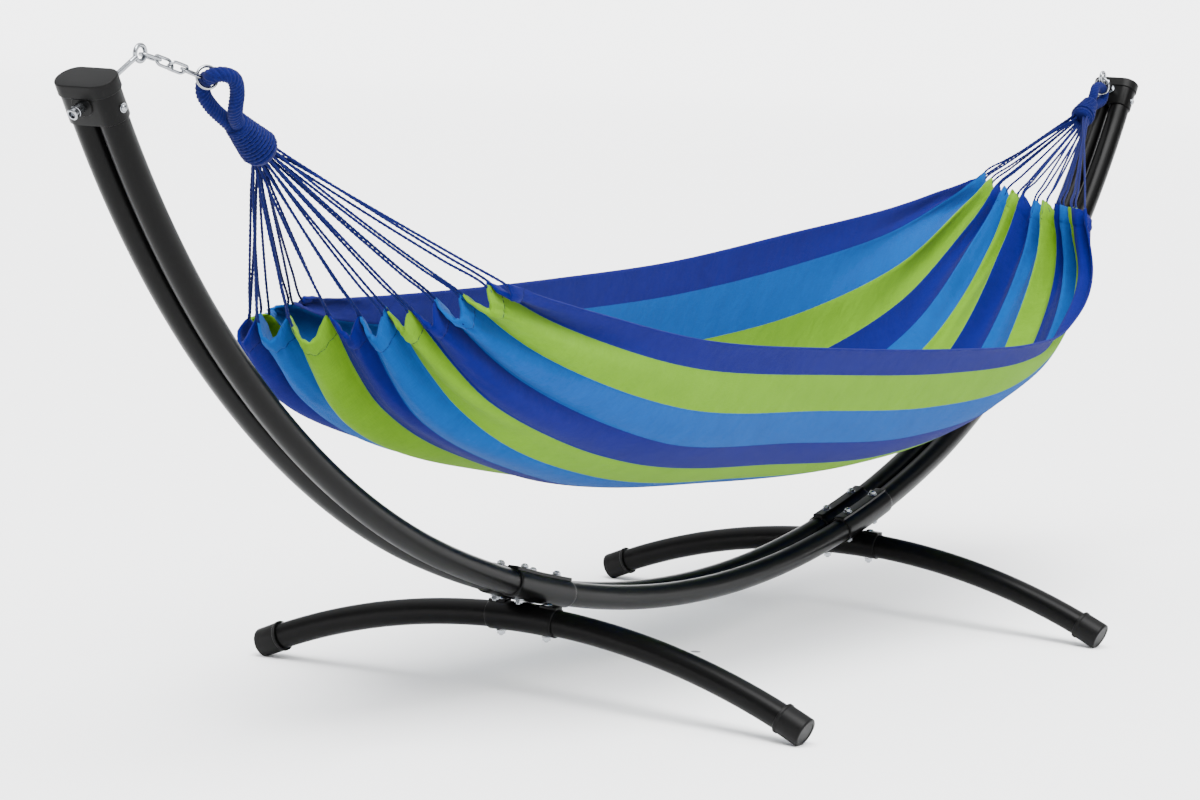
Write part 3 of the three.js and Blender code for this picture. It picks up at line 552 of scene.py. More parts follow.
def wire(path, normal, radius, seam=None):
    """A round wire round a flat closed path, thicker by a little at its weld."""
    count = len(path)
    frames = []
    sections = []
    for i in range(count):
        tangent = unit(path[(i + 1) % count] - path[i - 1])
        frames.append((path[i], np.cross(tangent, normal), normal))
        swell = 1
        if seam is not None:
            gap = min(abs(i - seam), count - abs(i - seam))
            swell = 1 + 0.13 * math.exp(-((gap / 1.3) ** 2))
        sections.append(circle(radius * swell, 16))
    points, faces = swept(frames, sections, joined=True)
    return points, [face[::-1] for face in faces]


def torus(centre, a_axis, b_axis, normal, radius, wire_r):
    angles = np.linspace(0, 2 * math.pi, 64, endpoint=False)
    path = centre + np.outer(np.cos(angles), a_axis) * radius + np.outer(np.sin(angles), b_axis) * radius
    return wire(path, normal, wire_r)


def eye_bolt(distance):
    """A threaded rod with a closed eye."""
    end = distance - EYE_RING_R
    profile = [(0, -42), (3.4, -42), (3.9, -41)]
    h = 28.0
    while h < end - 14:
        profile += [(EYE_ROD_R, h), (EYE_ROD_R - 0.45, h + THREAD_PITCH / 2)]
        h += THREAD_PITCH
    profile += [(EYE_ROD_R, h), (EYE_ROD_R, end - 4), (EYE_ROD_R + 0.6, end),
                (EYE_ROD_R - 1, end + 2), (0, end + 2)]
    centre = EYE_BASE + INWARD * distance
    ring = torus(centre, INWARD, np.cross(ACROSS, INWARD), ACROSS, EYE_RING_R, EYE_WIRE_R)
    return combine([turned(profile, EYE_BASE, INWARD, 24), ring])


def barrel_nut():
    profile = [
        (0, 40), (5.4, 40), (5.4, BOSS_OUT + 0.2), (BARREL_R - 0.5, BOSS_OUT + 0.2),
        (BARREL_R, BOSS_OUT + 0.8), (BARREL_R, 43), (BARREL_R - 0.7, 43.6), (BARREL_R - 0.7, 44.6),
        (BARREL_R, 45.2),
        (BARREL_R, BARREL_OUT - 1.4), (BARREL_R - 1.3, BARREL_OUT), (5.9, BARREL_OUT),
        (5.6, BARREL_OUT - 0.6), (5.4, BARREL_OUT - 5.5), (0, BARREL_OUT - 6),
    ]
    return turned(profile, EYE_BASE, -INWARD, 40)


def eye_nut():
    low, high = COLLAR_R + 0.3, COLLAR_R + 1.8
    washer = [(0, low), (BARREL_R + 2.2, low), (BARREL_R + 2.2, high), (0, high)]
    return combine([
        turned(washer, EYE_BASE, INWARD),
        hexagon(16.6, high, EYE_NUT_TO, EYE_BASE, INWARD, 0.3, 1.2),
    ])


def round_screw(base, origin, axis):
    """A domed screw head with a small recess, on a washer."""
    washer = [(0, base), (7.3, base), (7.5, base + 0.4), (7.3, base + 1.2), (0, base + 1.2)]
    head = [(0, base + 1), (5.5, base + 1.2), (5.4, base + 2.6), (4.6, base + 3.9),
            (3, base + 4.7), (1.2, base + 5), (1.1, base + 3.4), (0, base + 3.3)]
    return combine([turned(washer, origin, axis), turned(head, origin, axis)])


# ---- The legs ------------------------------------------------------------------------------------
def leg_frame(s, side):
    angle = s / LEG_RADIUS
    y = side * LEG_RADIUS * math.sin(angle)
    z = LEG_TOP_Z - LEG_RADIUS * (1 - math.cos(angle))
    outward = vec(0, side * math.sin(angle), math.cos(angle))
    tangent = vec(0, side * math.cos(angle), -math.sin(angle))
    return vec(LEG_X, y, z), vec(-side, 0, 0), outward, tangent


def leg_sleeve():
    offsets = [-LEG_SLEEVE_HALF, -LEG_SLEEVE_HALF + 0.5, -LEG_SLEEVE_HALF + 1.4]
    offsets += list(np.linspace(-LEG_SLEEVE_HALF + 8, LEG_SLEEVE_HALF - 8, 10))
    offsets += [LEG_SLEEVE_HALF - 1.4, LEG_SLEEVE_HALF - 0.5, LEG_SLEEVE_HALF]
    scales = [0.955, 0.985, 1] + [1] * 10 + [1, 0.985, 0.955]
    parts = [swept([leg_frame(s, 1)[:3] for s in offsets], [circle(LEG_SLEEVE_R * k, 44) for k in scales])]
    pad = strip_section(LEG_SLEEVE_R - 1, LEG_SLEEVE_R + PAD_HEIGHT, PAD_HALF_WIDTH, 1.2)
    for side in (1, -1):
        stations = [PAD_FROM, PAD_FROM + 0.6, 52, LEG_SLEEVE_HALF - 0.6, LEG_SLEEVE_HALF]
        scales = [0.97, 1, 1, 1, 0.97]
        parts.append(swept([leg_frame(s, side)[:3] for s in stations], [pad * k for k in scales]))
    return combine(parts)


def leg_bolt(side):
    """A low domed head on the pad and a bright cap nut below."""
    drop = LEG_RADIUS * (1 - math.cos(LEG_SLEEVE_HALF / LEG_RADIUS)) * LEG_BOLT_Y / LEG_SLEEVE_HALF
    top = LEG_SLEEVE_R + PAD_HEIGHT - drop + 0.5
    low = -LEG_SLEEVE_R - drop - 0.3
    origin = vec(LEG_X, side * LEG_BOLT_Y, LEG_TOP_Z)
    up = vec(0, 0, 1)
    dome = [(0, top), (8, top), (8, top + 0.8), (6.8, top + 2.4), (4.4, top + 3.4), (0, top + 3.8)]
    return combine([
        turned(dome, origin, up),
        turned([(0, low - 1.3), (9, low - 1.3), (9, low), (0, low)], origin, up),
        hexagon(BOLT_HEX, low - 7, low - 1.3, origin, up, 0.2),
        turned([(0, low - 10), (3, low - 9.6), (4, low - 8.6), (4, low - 5), (0, low - 5)], origin, up),
    ])


def foot_cap(side):
    origin, _, _, tangent = leg_frame(LEG_LENGTH - FOOT_LENGTH / 2, side)
    base = origin - tangent * FOOT_LENGTH / 2
    profile = [
        (LEG_TUBE_R - 0.5, 2), (LEG_TUBE_R + 0.6, 0.2), (FOOT_LIP_R - 0.8, 0), (FOOT_LIP_R, 0.9),
        (FOOT_LIP_R, 5.2), (FOOT_LIP_R - 0.5, 6), (FOOT_R, 6.8), (FOOT_R, FOOT_LENGTH - 3.4),
        (FOOT_R - 0.5, FOOT_LENGTH - 1.7), (FOOT_R - 1.6, FOOT_LENGTH - 0.6), (FOOT_R - 3.2, FOOT_LENGTH),
        (FOOT_R - 7, FOOT_LENGTH - 0.3), (FOOT_R - 7.8, FOOT_LENGTH - 1.2), (0, FOOT_LENGTH - 1.2),
    ]
    points, faces = turned(profile, base, tangent, 56)
    points[:, 2] = np.maximum(points[:, 2], 0)
    return points, faces


for end, sign in (("right", 1), ("left", -1)):
    for y in (-ARC_ROW_Y, ARC_ROW_Y):
        row = f"{end}_{'front' if y * sign < 0 else 'rear'}"
        stand_piece(f"arc_upper_{row}", placed(arc_sweep(UPPER_STATIONS, y, circle(ARC_TUBE_R, 48)), sign))
        stand_piece(f"arc_sleeve_{row}", placed(sleeve(y), sign))
        for place, offset in (("inner", -SLEEVE_BOLT_OFFSET), ("outer", SLEEVE_BOLT_OFFSET)):
            origin, _, axis, _ = arc_frame(JOINT_S + offset, y)
            turn = chance.uniform(0, 1)
            shape = through_bolt(origin, axis, STRIP_TOP, 7, -SLEEVE_R, turn)
            stand_piece(f"sleeve_bolt_{row}_{place}", placed(shape, sign), ZINC, "zinc_steel")
    for side in (-1, 1):
        row = f"{end}_{'front' if side * sign < 0 else 'rear'}"
        stations = np.linspace(0.3, LEG_LENGTH - 5, 34)
        tube = swept([leg_frame(s, side)[:3] for s in stations], circle(LEG_TUBE_R, 48))
        stand_piece(f"leg_tube_{row}", placed(tube, sign))
        stand_piece(f"foot_cap_{row}", placed(foot_cap(side), sign), PLASTIC, "black_plastic")
        stand_piece(f"leg_bolt_{row}", placed(leg_bolt(side), sign), ZINC, "zinc_steel")
        screw = round_screw(ARC_ROW_Y + COLLAR_R + 0.1, head_point(0, 0, SCREW_T), vec(0, side, 0))
        stand_piece(f"collar_screw_{row}", placed(screw, sign), ZINC, "zinc_steel")
    stand_piece(f"leg_sleeve_{end}", placed(leg_sleeve(), sign))
    stand_piece(f"collar_{end}", placed(collar(), sign))
    stand_piece(f"top_cap_{end}", placed(top_cap(), sign), PLASTIC, "black_plastic")
    stand_piece(f"eye_bolt_{end}", placed(eye_bolt(EYE_DISTANCE[end]), sign), ZINC, "zinc_steel")
    stand_piece(f"barrel_nut_{end}", placed(barrel_nut(), sign), ZINC, "zinc_steel")
    stand_piece(f"eye_nut_{end}", placed(eye_nut(), sign), ZINC, "zinc_steel")
    inner = round_screw(COLLAR_R + 0.1, head_point(ARC_ROW_Y, 0, SCREW_T), INWARD)
    stand_piece(f"collar_inner_screw_{end}", placed(inner, sign), ZINC, "zinc_steel")


# ---- Chains --------------------------------------------------------------------------------------
REAR = vec(0, 1, 0)


def rolled_axes(direction, roll_degrees):
    roll = math.radians(roll_degrees)
    up = unit(np.cross(direction, REAR))
    normal = REAR * math.cos(roll) + up * math.sin(roll)
    return direction, np.cross(normal, direction), normal


def hammock_piece(node, shape, material, slot_name, **extra):
    return piece(node + "_fine", shape, material, "hammock", slot_name, (node,), **extra)


LEFT_EYE = (EYE_BASE + INWARD * EYE_DISTANCE["left"]) * vec(-1, 1, 1)
RIGHT_EYE = EYE_BASE + INWARD * EYE_DISTANCE["right"]
direction = unit(CHAIN_DIRECTION)
link_centre = LEFT_EYE + direction * FIRST_LINK_FROM_EYE
for i, roll in enumerate(LINK_ROLLS):
    if i:
        link_centre = link_centre + direction * LINK_PITCH
    a_axis, b_axis, normal = rolled_axes(direction, roll)
    path = wire_path(link_centre, a_axis, b_axis, LINK_LENGTH, LINK_WIDTH)
    hammock_piece(f"chain_link_left_{i + 1}", wire(path, normal, WIRE_R, seam=10), ZINC, "zinc_steel")

ring_normal = unit(RING_NORMAL)
ring_pull = unit(direction - ring_normal * (direction @ ring_normal))
ring_centre = link_centre + direction * RING_WIRE_FROM_LINK + ring_pull * RING_R
ring = torus(ring_centre, ring_pull, np.cross(ring_normal, ring_pull), ring_normal, RING_R, WIRE_R)
hammock_piece("chain_ring_left", ring, ZINC, "zinc_steel")

a_axis, b_axis, normal = rolled_axes(vec(0, 0, -1), 90)
right_centre = RIGHT_EYE + vec(0, 0, WIRE_R - RIGHT_LINK_SEAT - RIGHT_LINK_LENGTH / 2)
path = wire_path(right_centre, a_axis, b_axis, RIGHT_LINK_LENGTH, RIGHT_LINK_WIDTH)
hammock_piece("chain_link_right", wire(path, normal, WIRE_R, seam=4), ZINC, "zinc_steel")


# ---- Splines and ropes ---------------------------------------------------------------------------
def spline_at(points, shares):
    """Centripetal Catmull-Rom through the first axis of an array of points, at shares from 0 to 1."""
    points = np.asarray(points, float)
    last = len(points) - 1
    before = 2 * points[0] - points[1]
    after = 2 * points[-1] - points[-2]
    padded = np.concatenate([before[None], points, after[None]])
    made = []
    for share in shares:
        at = min(int(share * last), last - 1)
        w = share * last - at
        p0, p1, p2, p3 = padded[at : at + 4]
        root = lambda v: np.maximum(np.linalg.norm(v, axis=-1, keepdims=True), 1e-9) ** 0.5
        d0, d1, d2 = root(p1 - p0), root(p2 - p1), root(p3 - p2)
        m1 = ((p1 - p0) / d0 - (p2 - p0) / (d0 + d1) + (p2 - p1) / d1) * d1
        m2 = ((p2 - p1) / d1 - (p3 - p1) / (d1 + d2) + (p3 - p2) / d2) * d1
        made.append(p1 + m1 * w + (3 * (p2 - p1) - 2 * m1 - m2) * w**2 + (2 * (p1 - p2) + m1 + m2) * w**3)
    return np.array(made)


def evened(path, step):
    """The path resampled at equal steps, and its length."""
    lengths = np.concatenate([[0], np.cumsum(np.linalg.norm(np.diff(path, axis=0), axis=1))])
    count = max(8, int(lengths[-1] / step))
    at = np.linspace(0, lengths[-1], count)
    return np.stack([np.interp(at, lengths, path[:, k]) for k in range(3)], 1), lengths[-1]


def twisted(path, diameter, lobes, pitch, around, depth):
    """A laid rope along the path: its section has one lobe per strand and turns as it goes."""
    tangents = np.gradient(path, axis=0)
    tangents /= np.linalg.norm(tangents, axis=1)[:, None]
    side = unit(np.cross(tangents[0], vec(0.31, 0.7, 0.64)))
    frames = []
    sections = []
    travelled = 0.0
    angles = np.linspace(0, 2 * math.pi, around, endpoint=False)
    for i, tangent in enumerate(tangents):
        side = unit(side - tangent * (side @ tangent))
        if i:
            travelled += np.linalg.norm(path[i] - path[i - 1])
        twist = 2 * math.pi * travelled / pitch
        radius = diameter / 2 * (1 - depth + depth * np.cos(lobes * (angles - twist / lobes)))
        frames.append((path[i], side, np.cross(tangent, side)))
        sections.append(np.stack([radius * np.cos(angles), radius * np.sin(angles)], 1))
    return swept(frames, sections)


def rope_loop(end, points, whip_from, whip_to, r_from, r_to, rope_r):
    """The loop round the ring and its whipping: a tapered core under diagonal turns of cord."""
    path, length = evened(path_of(points), 1.1)
    laid = twisted(path, 2 * rope_r, 6, 6.5, 54, 0.05)
    rope = hammock_piece(f"rope_loop_{end}", laid, CORD, "navy_cord", sharp_degrees=0)
    axis = unit(np.subtract(whip_to, whip_from))
    reach = np.linalg.norm(np.subtract(whip_to, whip_from))
    start = np.array(whip_from, float)
    core = [(r_from * 0.75, 1), (r_from - 2.5, 5), (r_to - 3, reach - 14),
            (r_to * 0.86, reach - 3), (r_to * 0.6, reach - 1), (0, reach - 1)]
    side = unit(np.cross(axis, vec(0, 1, 0)))
    other = np.cross(axis, side)
    turns = reach / WRAP_PITCH
    path = []
    for i in range(int(turns * 30) + 1):
        turn = i / 30
        share = turn / turns
        radius = (r_from + (r_to - r_from) * min(1, share * 1.2)) - WRAP_R * 0.75
        if share > 0.86:
            radius -= (share - 0.86) * 22
        angle = 2 * math.pi * turn
        height = 4 + share * (reach - 9) + 6 * math.cos(angle + 0.6) * min(1, 6 * share, 6 * (1 - share))
        path.append(start + axis * height + (side * math.cos(angle) + other * math.sin(angle)) * radius)
    path, _ = evened(np.array(path), 2.4)
    wrapped = combine([turned(core, start, axis, 28), twisted(path, 2 * WRAP_R, 2, 9.0, 12, 0.1)])
    whipping = piece(f"whipping_{end}", wrapped, CORD, "hammock", "navy_cord", sharp_degrees=0)
    return axis


def path_of(points):
    return spline_at(points, np.linspace(0, 1, 140))


LEFT_WHIP = [(-1522, 0, 1036), (-1446, 0, 988)]
RIGHT_WHIP = [(1736, 0, 1060), (1683, 0, 1020)]
LEFT_LOOP = [(-1519, -5, 1033), (-1540, -14, 1045), (-1557, -27, 1062), (-1569, -38, 1086),
             (-1585, -43, 1105), (-1603, -36, 1111), (-1610.5, -22, 1108.5), (-1603.5, -9.5, 1104),
             (-1596, 5, 1099.5), (-1588, 12, 1080), (-1566, 12, 1059), (-1538, 9, 1041), (-1518, 7, 1029)]
RIGHT_LOOP = [(1733, -3, 1063), (1742, -4, 1081), (1757, -1, 1093), (1777, 0, 1095.5), (1796, 0, 1091.5),
              (1809.5, 0, 1079), (1804, 1, 1062.5), (1781, 4, 1054), (1756, 5, 1049), (1734, 5, 1053)]
left_whip_axis = rope_loop("left", LEFT_LOOP, *LEFT_WHIP, 20, 31, ROPE_R)
right_whip_axis = rope_loop("right", RIGHT_LOOP, *RIGHT_WHIP, 17, 27, ROPE_R * 0.9)


# ---- The cloth -----------------------------------------------------------------------------------
# Rows of five points across the cloth, front rim to rear rim, from the left hem to the right hem.
CLOTH_ROWS = np.array([
    [(-1109, -250, 783), (-1180, -135, 733), (-1215, 0, 704), (-1262, 168, 690), (-1000, 240, 718)],
    [(-900, -268, 735), (-1010, -190, 600), (-1050, 0, 540), (-1086, 196, 560), (-830, 262, 709)],
    [(-560, -305, 668), (-620, -230, 470), (-650, -10, 402), (-640, 205, 440), (-480, 290, 704)],
    [(-100, -335, 628), (-100, -235, 425), (-100, -10, 345), (-80, 220, 430), (-50, 330, 703)],
    [(350, -345, 600), (350, -235, 400), (350, -10, 335), (370, 225, 430), (400, 330, 718)],
    [(760, -325, 584), (770, -225, 430), (770, -10, 375), (800, 200, 470), (850, 295, 765)],
    [(1040, -280, 600), (1080, -190, 520), (1100, 0, 500), (1130, 150, 590), (1200, 250, 808)],
    [(1225, -245, 690), (1290, -150, 680), (1330, 0, 700), (1380, 130, 750), (1400, 225, 842)],
    [(1275, -200, 830), (1370, -110, 826), (1430, 0, 828), (1500, 110, 848), (1560, 200, 873)],
], float)
CLOTH_ROWS[:, :, 1] -= 6
PLEAT_DEPTH = 17
PLEAT_REACH = 300
HEM_PULL = 12
CLOTH_HALF = 0.7
CHANNEL_PUFF = 5.2
RIM_SPAN = 1050
ALONG_COUNT = 250
ACROSS_COUNT = STRIPES * 14
t = np.linspace(0, 1, ALONG_COUNT)
ALONG_SHARES = 0.4 * (1 - np.cos(math.pi * t)) + 0.2 * t
ACROSS_SHARES = np.linspace(0, 1, ACROSS_COUNT + 1)

across_rows = np.swapaxes(spline_at(np.swapaxes(CLOTH_ROWS, 0, 1), ACROSS_SHARES), 0, 1)
surface = spline_at(across_rows, ALONG_SHARES)


def surface_normals(grid):
    along = np.gradient(grid, axis=0)
    across = np.gradient(grid, axis=1)
    normal = np.cross(along, across)
    normal /= np.maximum(np.linalg.norm(normal, axis=2, keepdims=True), 1e-9)
    if normal[ALONG_COUNT // 2, ACROSS_COUNT // 2, 2] > 0:
        normal = -normal
    return normal


steps = np.linalg.norm(np.diff(surface, axis=0), axis=2)
from_left = np.concatenate([np.zeros((1, ACROSS_COUNT + 1)), np.cumsum(steps, axis=0)])
from_right = from_left[-1] - from_left
from_hem = np.minimum(from_left, from_right)
on_left = from_left < from_right
stripe_at = np.interp(ACROSS_SHARES, STRIPE_EDGES, np.arange(STRIPES + 1))


def fold_pattern(seed):
    """Random strength and lean of each fold, one set for each end of the cloth."""
    dice = random.Random(seed)
    strength = np.array([dice.uniform(0.7, 1.3) for _ in range(STRIPES)])
    lean = np.array([dice.uniform(-0.16, 0.16) for _ in range(STRIPES)])
    phases = [dice.uniform(0, 2 * math.pi) for _ in range(8)]
    return strength, lean, phases


def hump(distance, centre, width):
    return np.exp(-(((distance - centre) / width) ** 2))


def folds(distance, seed):
    """How far the cloth leaves its even surface: pleats at the hem that merge and die out inwards."""
    strength, lean, phases = fold_pattern(seed)
    index = np.minimum(stripe_at.astype(int), STRIPES - 1)
    cell = stripe_at - index
    near_hem = hump(distance, 0, 420)
    bowed = cell[None] + lean[index][None] * np.sin(math.pi * cell)[None]
    crest = np.sin(math.pi * np.clip(bowed, 0, 1)) ** 0.8
    one = (crest * 2 - 1.1) * strength[index][None] * PLEAT_DEPTH * np.exp(-((distance / PLEAT_REACH) ** 1.3))
    v = ACROSS_SHARES[None]
    wander = 0.5 * np.sin(distance / 170 + phases[0]) + 0.35 * np.sin(distance / 90 + phases[1])
    pair = np.sin(2 * math.pi * 6.3 * v + phases[2] + wander)
    two = pair * 9.5 * hump(distance, 260, 240)
    broad = np.sin(2 * math.pi * 3.4 * v + phases[3] + 0.6 * wander)
    three = broad * 6.5 * hump(distance, 620, 420)
    slack = np.sin(2 * math.pi * 9.5 * v + phases[4] + 1.3 * wander)
    four = slack * 3.2 * hump(distance, 380, 260)
    pucker = np.sin(2 * math.pi * 61 * v + phases[5]) * (1 - 0.6 * np.cos(2 * math.pi * 23 * v + phases[6]))
    five = pucker * 2.9 * hump(distance, CHANNEL, 17)
    five += pucker * 2.4 * hump(distance, 0, 30)
    fine = np.sin(2 * math.pi * 31 * v + phases[7] + distance / 38) * np.sin(distance / 55 + 40 * v)
    five += fine * 1.6 * hump(distance, 120, 110)
    rim = np.clip(np.minimum(v, 1 - v) * 26, 0, 1)
    return (one + two + three + four) * rim * (0.55 + 0.45 * near_hem + 0.2) + five


amount = np.where(on_left, folds(from_left, 11), folds(from_right, 29))
normals = surface_normals(surface)
cell_wave = np.cos(2 * math.pi * stripe_at)[None]
pull = (cell_wave * HEM_PULL - 2) * np.exp(-from_hem / 45)
along_axis = np.gradient(surface, axis=0)
along_axis /= np.linalg.norm(along_axis, axis=2, keepdims=True)
outward = np.where(on_left, -1, 1)[..., None] * along_axis
middle = surface + normals * amount[..., None] + outward * pull[..., None]
normals = surface_normals(middle)

channel = np.sqrt(np.clip(1 - ((from_hem - 17) / 19) ** 2, 0, 1))
lumps = 1 + 0.3 * np.sin(2 * math.pi * 71 * ACROSS_SHARES + 1.3)[None] * np.cos(from_hem / 5)
half = CLOTH_HALF + CHANNEL_PUFF * channel * (0.7 + 0.3 * -cell_wave) * lumps
rim_distance = np.minimum(ACROSS_SHARES, 1 - ACROSS_SHARES)[None] * RIM_SPAN
half = half + 1.3 * np.exp(-((rim_distance / 9) ** 2))
outer = middle + normals * half[..., None]
inner = middle - normals * half[..., None]


def cloth_shape():
    rows, columns = middle.shape[:2]
    points = np.concatenate([outer.reshape(-1, 3), inner.reshape(-1, 3)])
    base = rows * columns
    faces = []
    for i in range(rows - 1):
        for j in range(columns - 1):
            a = i * columns + j
            faces.append((a, a + 1, a + columns + 1, a + columns))
            faces.append((base + a, base + a + columns, base + a + columns + 1, base + a + 1))
    edge = [(0, j) for j in range(columns)] + [(i, columns - 1) for i in range(1, rows)]
    edge += [(rows - 1, j) for j in range(columns - 2, -1, -1)] + [(i, 0) for i in range(rows - 2, 0, -1)]
    ids = [i * columns + j for i, j in edge]
    for here, after in zip(ids, ids[1:] + ids[:1]):
        faces.append((here, base + here, base + after, after))
    across = np.broadcast_to(ACROSS_SHARES * CLOTH_WIDTH, (rows, columns))
    flat = np.stack([across, from_left * MM], -1).reshape(-1, 2)
    return (points, faces), np.concatenate([flat, flat])


COTTON = striped_cotton()
shape, flat_uv = cloth_shape()
bed = hammock_piece("hammock_bed", shape, COTTON, "striped_cotton", sharp_degrees=0, uv=flat_uv)
middle_face = bed.data.polygons[(ALONG_COUNT // 2 * ACROSS_COUNT + ACROSS_COUNT // 2) * 2]
if middle_face.normal.z > 0:
    bed.data.flip_normals()


# ---- Stitches ------------------------------------------------------------------------------------
def stitches(row, name):
    """Short raised dashes of thread on the outer face, along the inner edge of the hem."""
    parts = []
    for j in range(ACROSS_COUNT):
        start = outer[row, j] + normals[row, j] * 0.2
        end = outer[row, j + 1] + normals[row, j + 1] * 0.2
        dash = [start + (end - start) * w for w in (0.12, 0.5, 0.88)]
        tangent = unit(end - start)
        frames = [(p, normals[row, j], np.cross(tangent, normals[row, j])) for p in dash]
        parts.append(swept(frames, circle(0.7, 5)))
    return piece(name, combine(parts), THREAD, "hammock", "navy_cord", sharp_degrees=0)


left_row = int(np.argmin(np.abs(from_left[:, ACROSS_COUNT // 2] - CHANNEL)))
right_row = int(np.argmin(np.abs(from_right[:, ACROSS_COUNT // 2] - CHANNEL)))
seams = [stitches(left_row, "hem_stitches_left"), stitches(right_row, "hem_stitches_right")]


# ---- The fans of cord ----------------------------------------------------------------------------
def column_at(stripe):
    """The column of the cloth's grid nearest to a place counted in stripes from the front rim."""
    return int(np.argmin(np.abs(stripe_at - stripe)))


def hem_point(end, stripe, distance):
    """The middle of the cloth at a place counted in stripes, and a distance in from the hem."""
    column = column_at(stripe)
    distances = (from_left if end == "left" else from_right)[:, column]
    row = int(np.argmin(np.abs(distances - distance)))
    return middle[row, column]


def away_from_hem(end, stripe):
    column = column_at(stripe)
    row = 0 if end == "left" else ALONG_COUNT - 1
    return outward[row, column]


def hem_mouth(end, stripe, root):
    """Where a cord goes into the hem: a little way out of the cloth, towards the whipping."""
    edge = hem_point(end, stripe, 3)
    return edge + unit(unit(root - edge) + away_from_hem(end, stripe) * 0.25) * 6


def fan(end, whip, axis, spread_r):
    """Loops of cord: each leaves the whipping, runs through one scallop of the hem and comes back."""
    root = np.array(whip[1], float)
    side = unit(vec(0, -1, 0))
    down = unit(np.cross(axis, side))
    if down[2] > 0:
        down = -down
    strands = 2 * STRIPES

    def slot_point(i, back):
        angle = (i / (strands - 1) - 0.5) * math.radians(FAN_OPENING)
        radius = spread_r * (1.0 if i % 2 else INNER_SLOTS)
        return root - axis * back + (side * -math.sin(angle) + down * math.cos(angle)) * radius

    for k in range(STRIPES):
        near_v, far_v = k + 0.05, k + 0.95
        enter, leave = (hem_mouth(end, stripe, root) for stripe in (near_v, far_v))
        points = []
        for i, hem, flip in ((2 * k, enter, False), (2 * k + 1, leave, True)):
            start = slot_point(i, 5)
            mouth = slot_point(i, -3)
            sag = chance.uniform(0.004, 0.012) * np.linalg.norm(hem - mouth)
            drift = vec(chance.uniform(-2.5, 2.5), chance.uniform(-3, 3), 0)
            strand = [start, mouth]
            for w in (0.2, 0.4, 0.6, 0.8):
                bow = 4 * w * (1 - w)
                strand.append(mouth + (hem - mouth) * w + (drift - vec(0, 0, sag)) * bow)
            strand.append(hem)
            points.append(strand[::-1] if flip else strand)
        tunnel = [hem_point(end, k + w, 15) for w in (0.2, 0.35, 0.5, 0.65, 0.8)]
        path = spline_at(np.array(points[0] + tunnel + points[1]), np.linspace(0, 1, 260))
        path, length = evened(path, 2.6)
        shape = twisted(path, CORD_D, 2, CORD_PITCH + chance.uniform(-1, 1), 10, 0.13)
        nodes = (f"cord_fan_{end}",) if k == 0 else ()
        cord = piece(f"fan_cord_{end}_{k + 1}", shape, CORD, "hammock", "navy_cord", nodes, sharp_degrees=0)


fan("left", LEFT_WHIP, left_whip_axis, 23)
fan("right", RIGHT_WHIP, right_whip_axis, 20)


# ---- Studio --------------------------------------------------------------------------------------
FLAT_FLOOR = 40
BOWL_RADIUS = 14
CAMERA_PLACE = (-5.8784, -3.3195, 1.2598)
CAMERA_YAW, CAMERA_PITCH, CAMERA_ROLL = 0.54481, -0.11476, 0.04604
CAMERA_LENS = 105.92


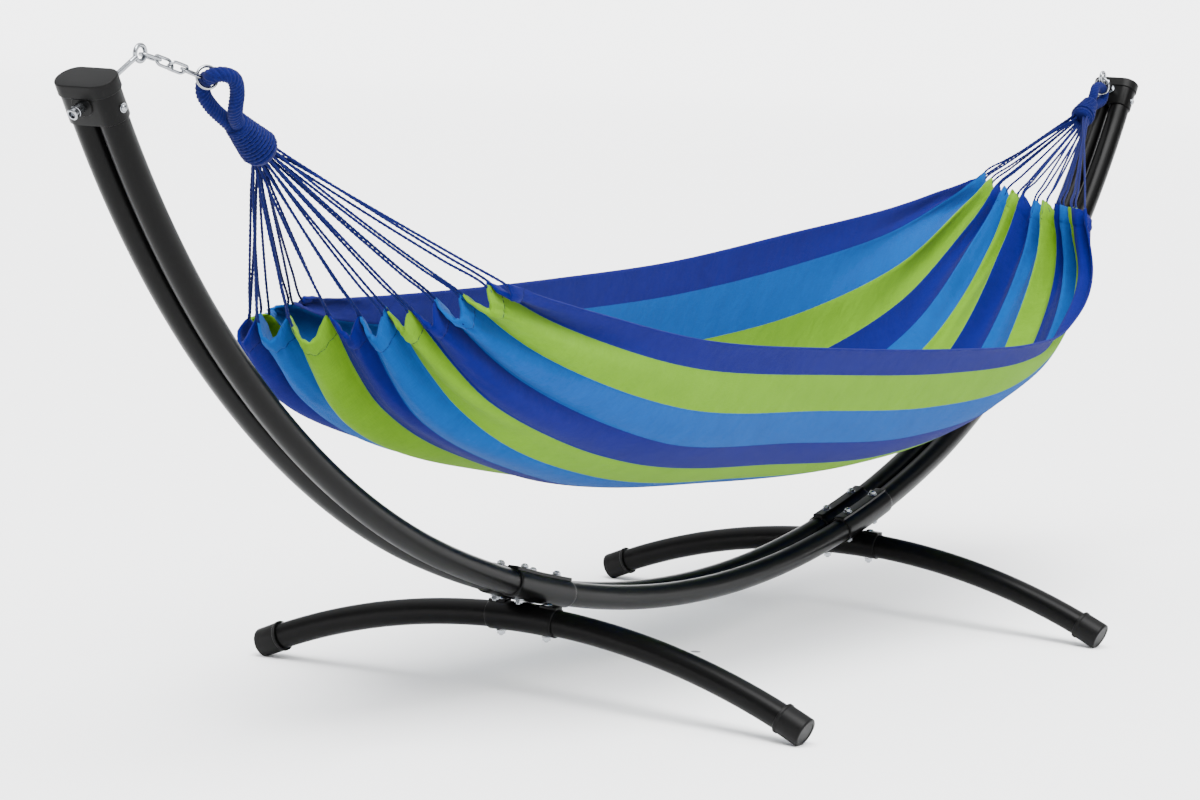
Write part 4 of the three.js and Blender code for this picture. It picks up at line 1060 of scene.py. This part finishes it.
def studio():
    """A pale floor that turns up far behind into a bowl, two broad suns and a sky brighter overhead."""
    mesh = bpy.data.meshes.new("floor")
    levels = [(0.01, 0), (10, 0), (FLAT_FLOOR, 0)]
    turns = [k * 0.1 for k in range(1, 14)]
    levels += [(FLAT_FLOOR + BOWL_RADIUS * math.sin(a), BOWL_RADIUS * (1 - math.cos(a))) for a in turns]
    around = np.linspace(0, 2 * math.pi, 96, endpoint=False)
    points = [(r * math.cos(a), r * math.sin(a), z) for r, z in levels for a in around]
    mesh.from_pydata(points, [], ring_faces(len(levels), len(around), capped=False))
    mesh.shade_smooth()
    floor = bpy.data.objects.new("floor", mesh)
    material, tree, shader = new_material("pale_studio_floor")
    place = add(tree, "ShaderNodeTexCoord")
    noise = add(tree, "ShaderNodeTexNoise", Vector=(place, "Object"), Scale=3.0, Detail=3.0)
    rough = add(tree, "ShaderNodeMapRange", in0=(noise, 0), in1=0.3, in2=0.7, in3=0.7, in4=0.8)
    link(tree, rough, 0, shader, "Roughness")
    shader.inputs["Base Color"].default_value = linear("#f8f8f8")
    shader.inputs["Specular IOR Level"].default_value = 0.1
    mesh.materials.append(material)
    bpy.context.scene.collection.objects.link(floor)
    for name, strength, spread, aim in (
        ("overhead_sun", 7.4, 40, (0.35, 0.25, -1.0)),
        ("side_sun", 1.8, 25, (0.5, 0.9, -0.8)),
    ):
        data = bpy.data.lights.new(name, "SUN")
        data.energy = strength
        data.angle = math.radians(spread)
        lamp = bpy.data.objects.new(name, data)
        lamp.rotation_euler = Vector(aim).to_track_quat("-Z", "Y").to_euler()
        bpy.context.scene.collection.objects.link(lamp)
    world = bpy.data.worlds.new("studio")
    world.use_nodes = True
    background = world.node_tree.nodes["Background"]
    tree = world.node_tree
    place = add(tree, "ShaderNodeTexCoord")
    height = add(tree, "ShaderNodeSeparateXYZ", Vector=(place, "Generated"))
    overhead = add(tree, "ShaderNodeMapRange", in0=(height, 2), in1=0.35, in2=0.75, in3=0.4, in4=2.9)
    background.inputs[0].default_value = linear("#f7f8fa")
    link(tree, overhead, 0, background, "Strength")
    bpy.context.scene.world = world


def camera():
    data = bpy.data.cameras.new("camera")
    data.lens = CAMERA_LENS
    data.sensor_width = 36
    data.clip_start, data.clip_end = 0.1, 400
    cam = bpy.data.objects.new("camera", data)
    yaw, pitch, roll = CAMERA_YAW, CAMERA_PITCH, CAMERA_ROLL
    forward = Vector((math.cos(yaw) * math.cos(pitch), math.sin(yaw) * math.cos(pitch), math.sin(pitch)))
    right = Vector((math.sin(yaw), -math.cos(yaw), 0))
    up = right.cross(forward)
    right_rolled = right * math.cos(roll) + up * math.sin(roll)
    up_rolled = up * math.cos(roll) - right * math.sin(roll)
    turn = Matrix((right_rolled, up_rolled, -forward)).transposed().to_4x4()
    cam.matrix_world = Matrix.Translation(Vector(CAMERA_PLACE)) @ turn
    bpy.context.scene.collection.objects.link(cam)
    bpy.context.scene.camera = cam


studio()
camera()
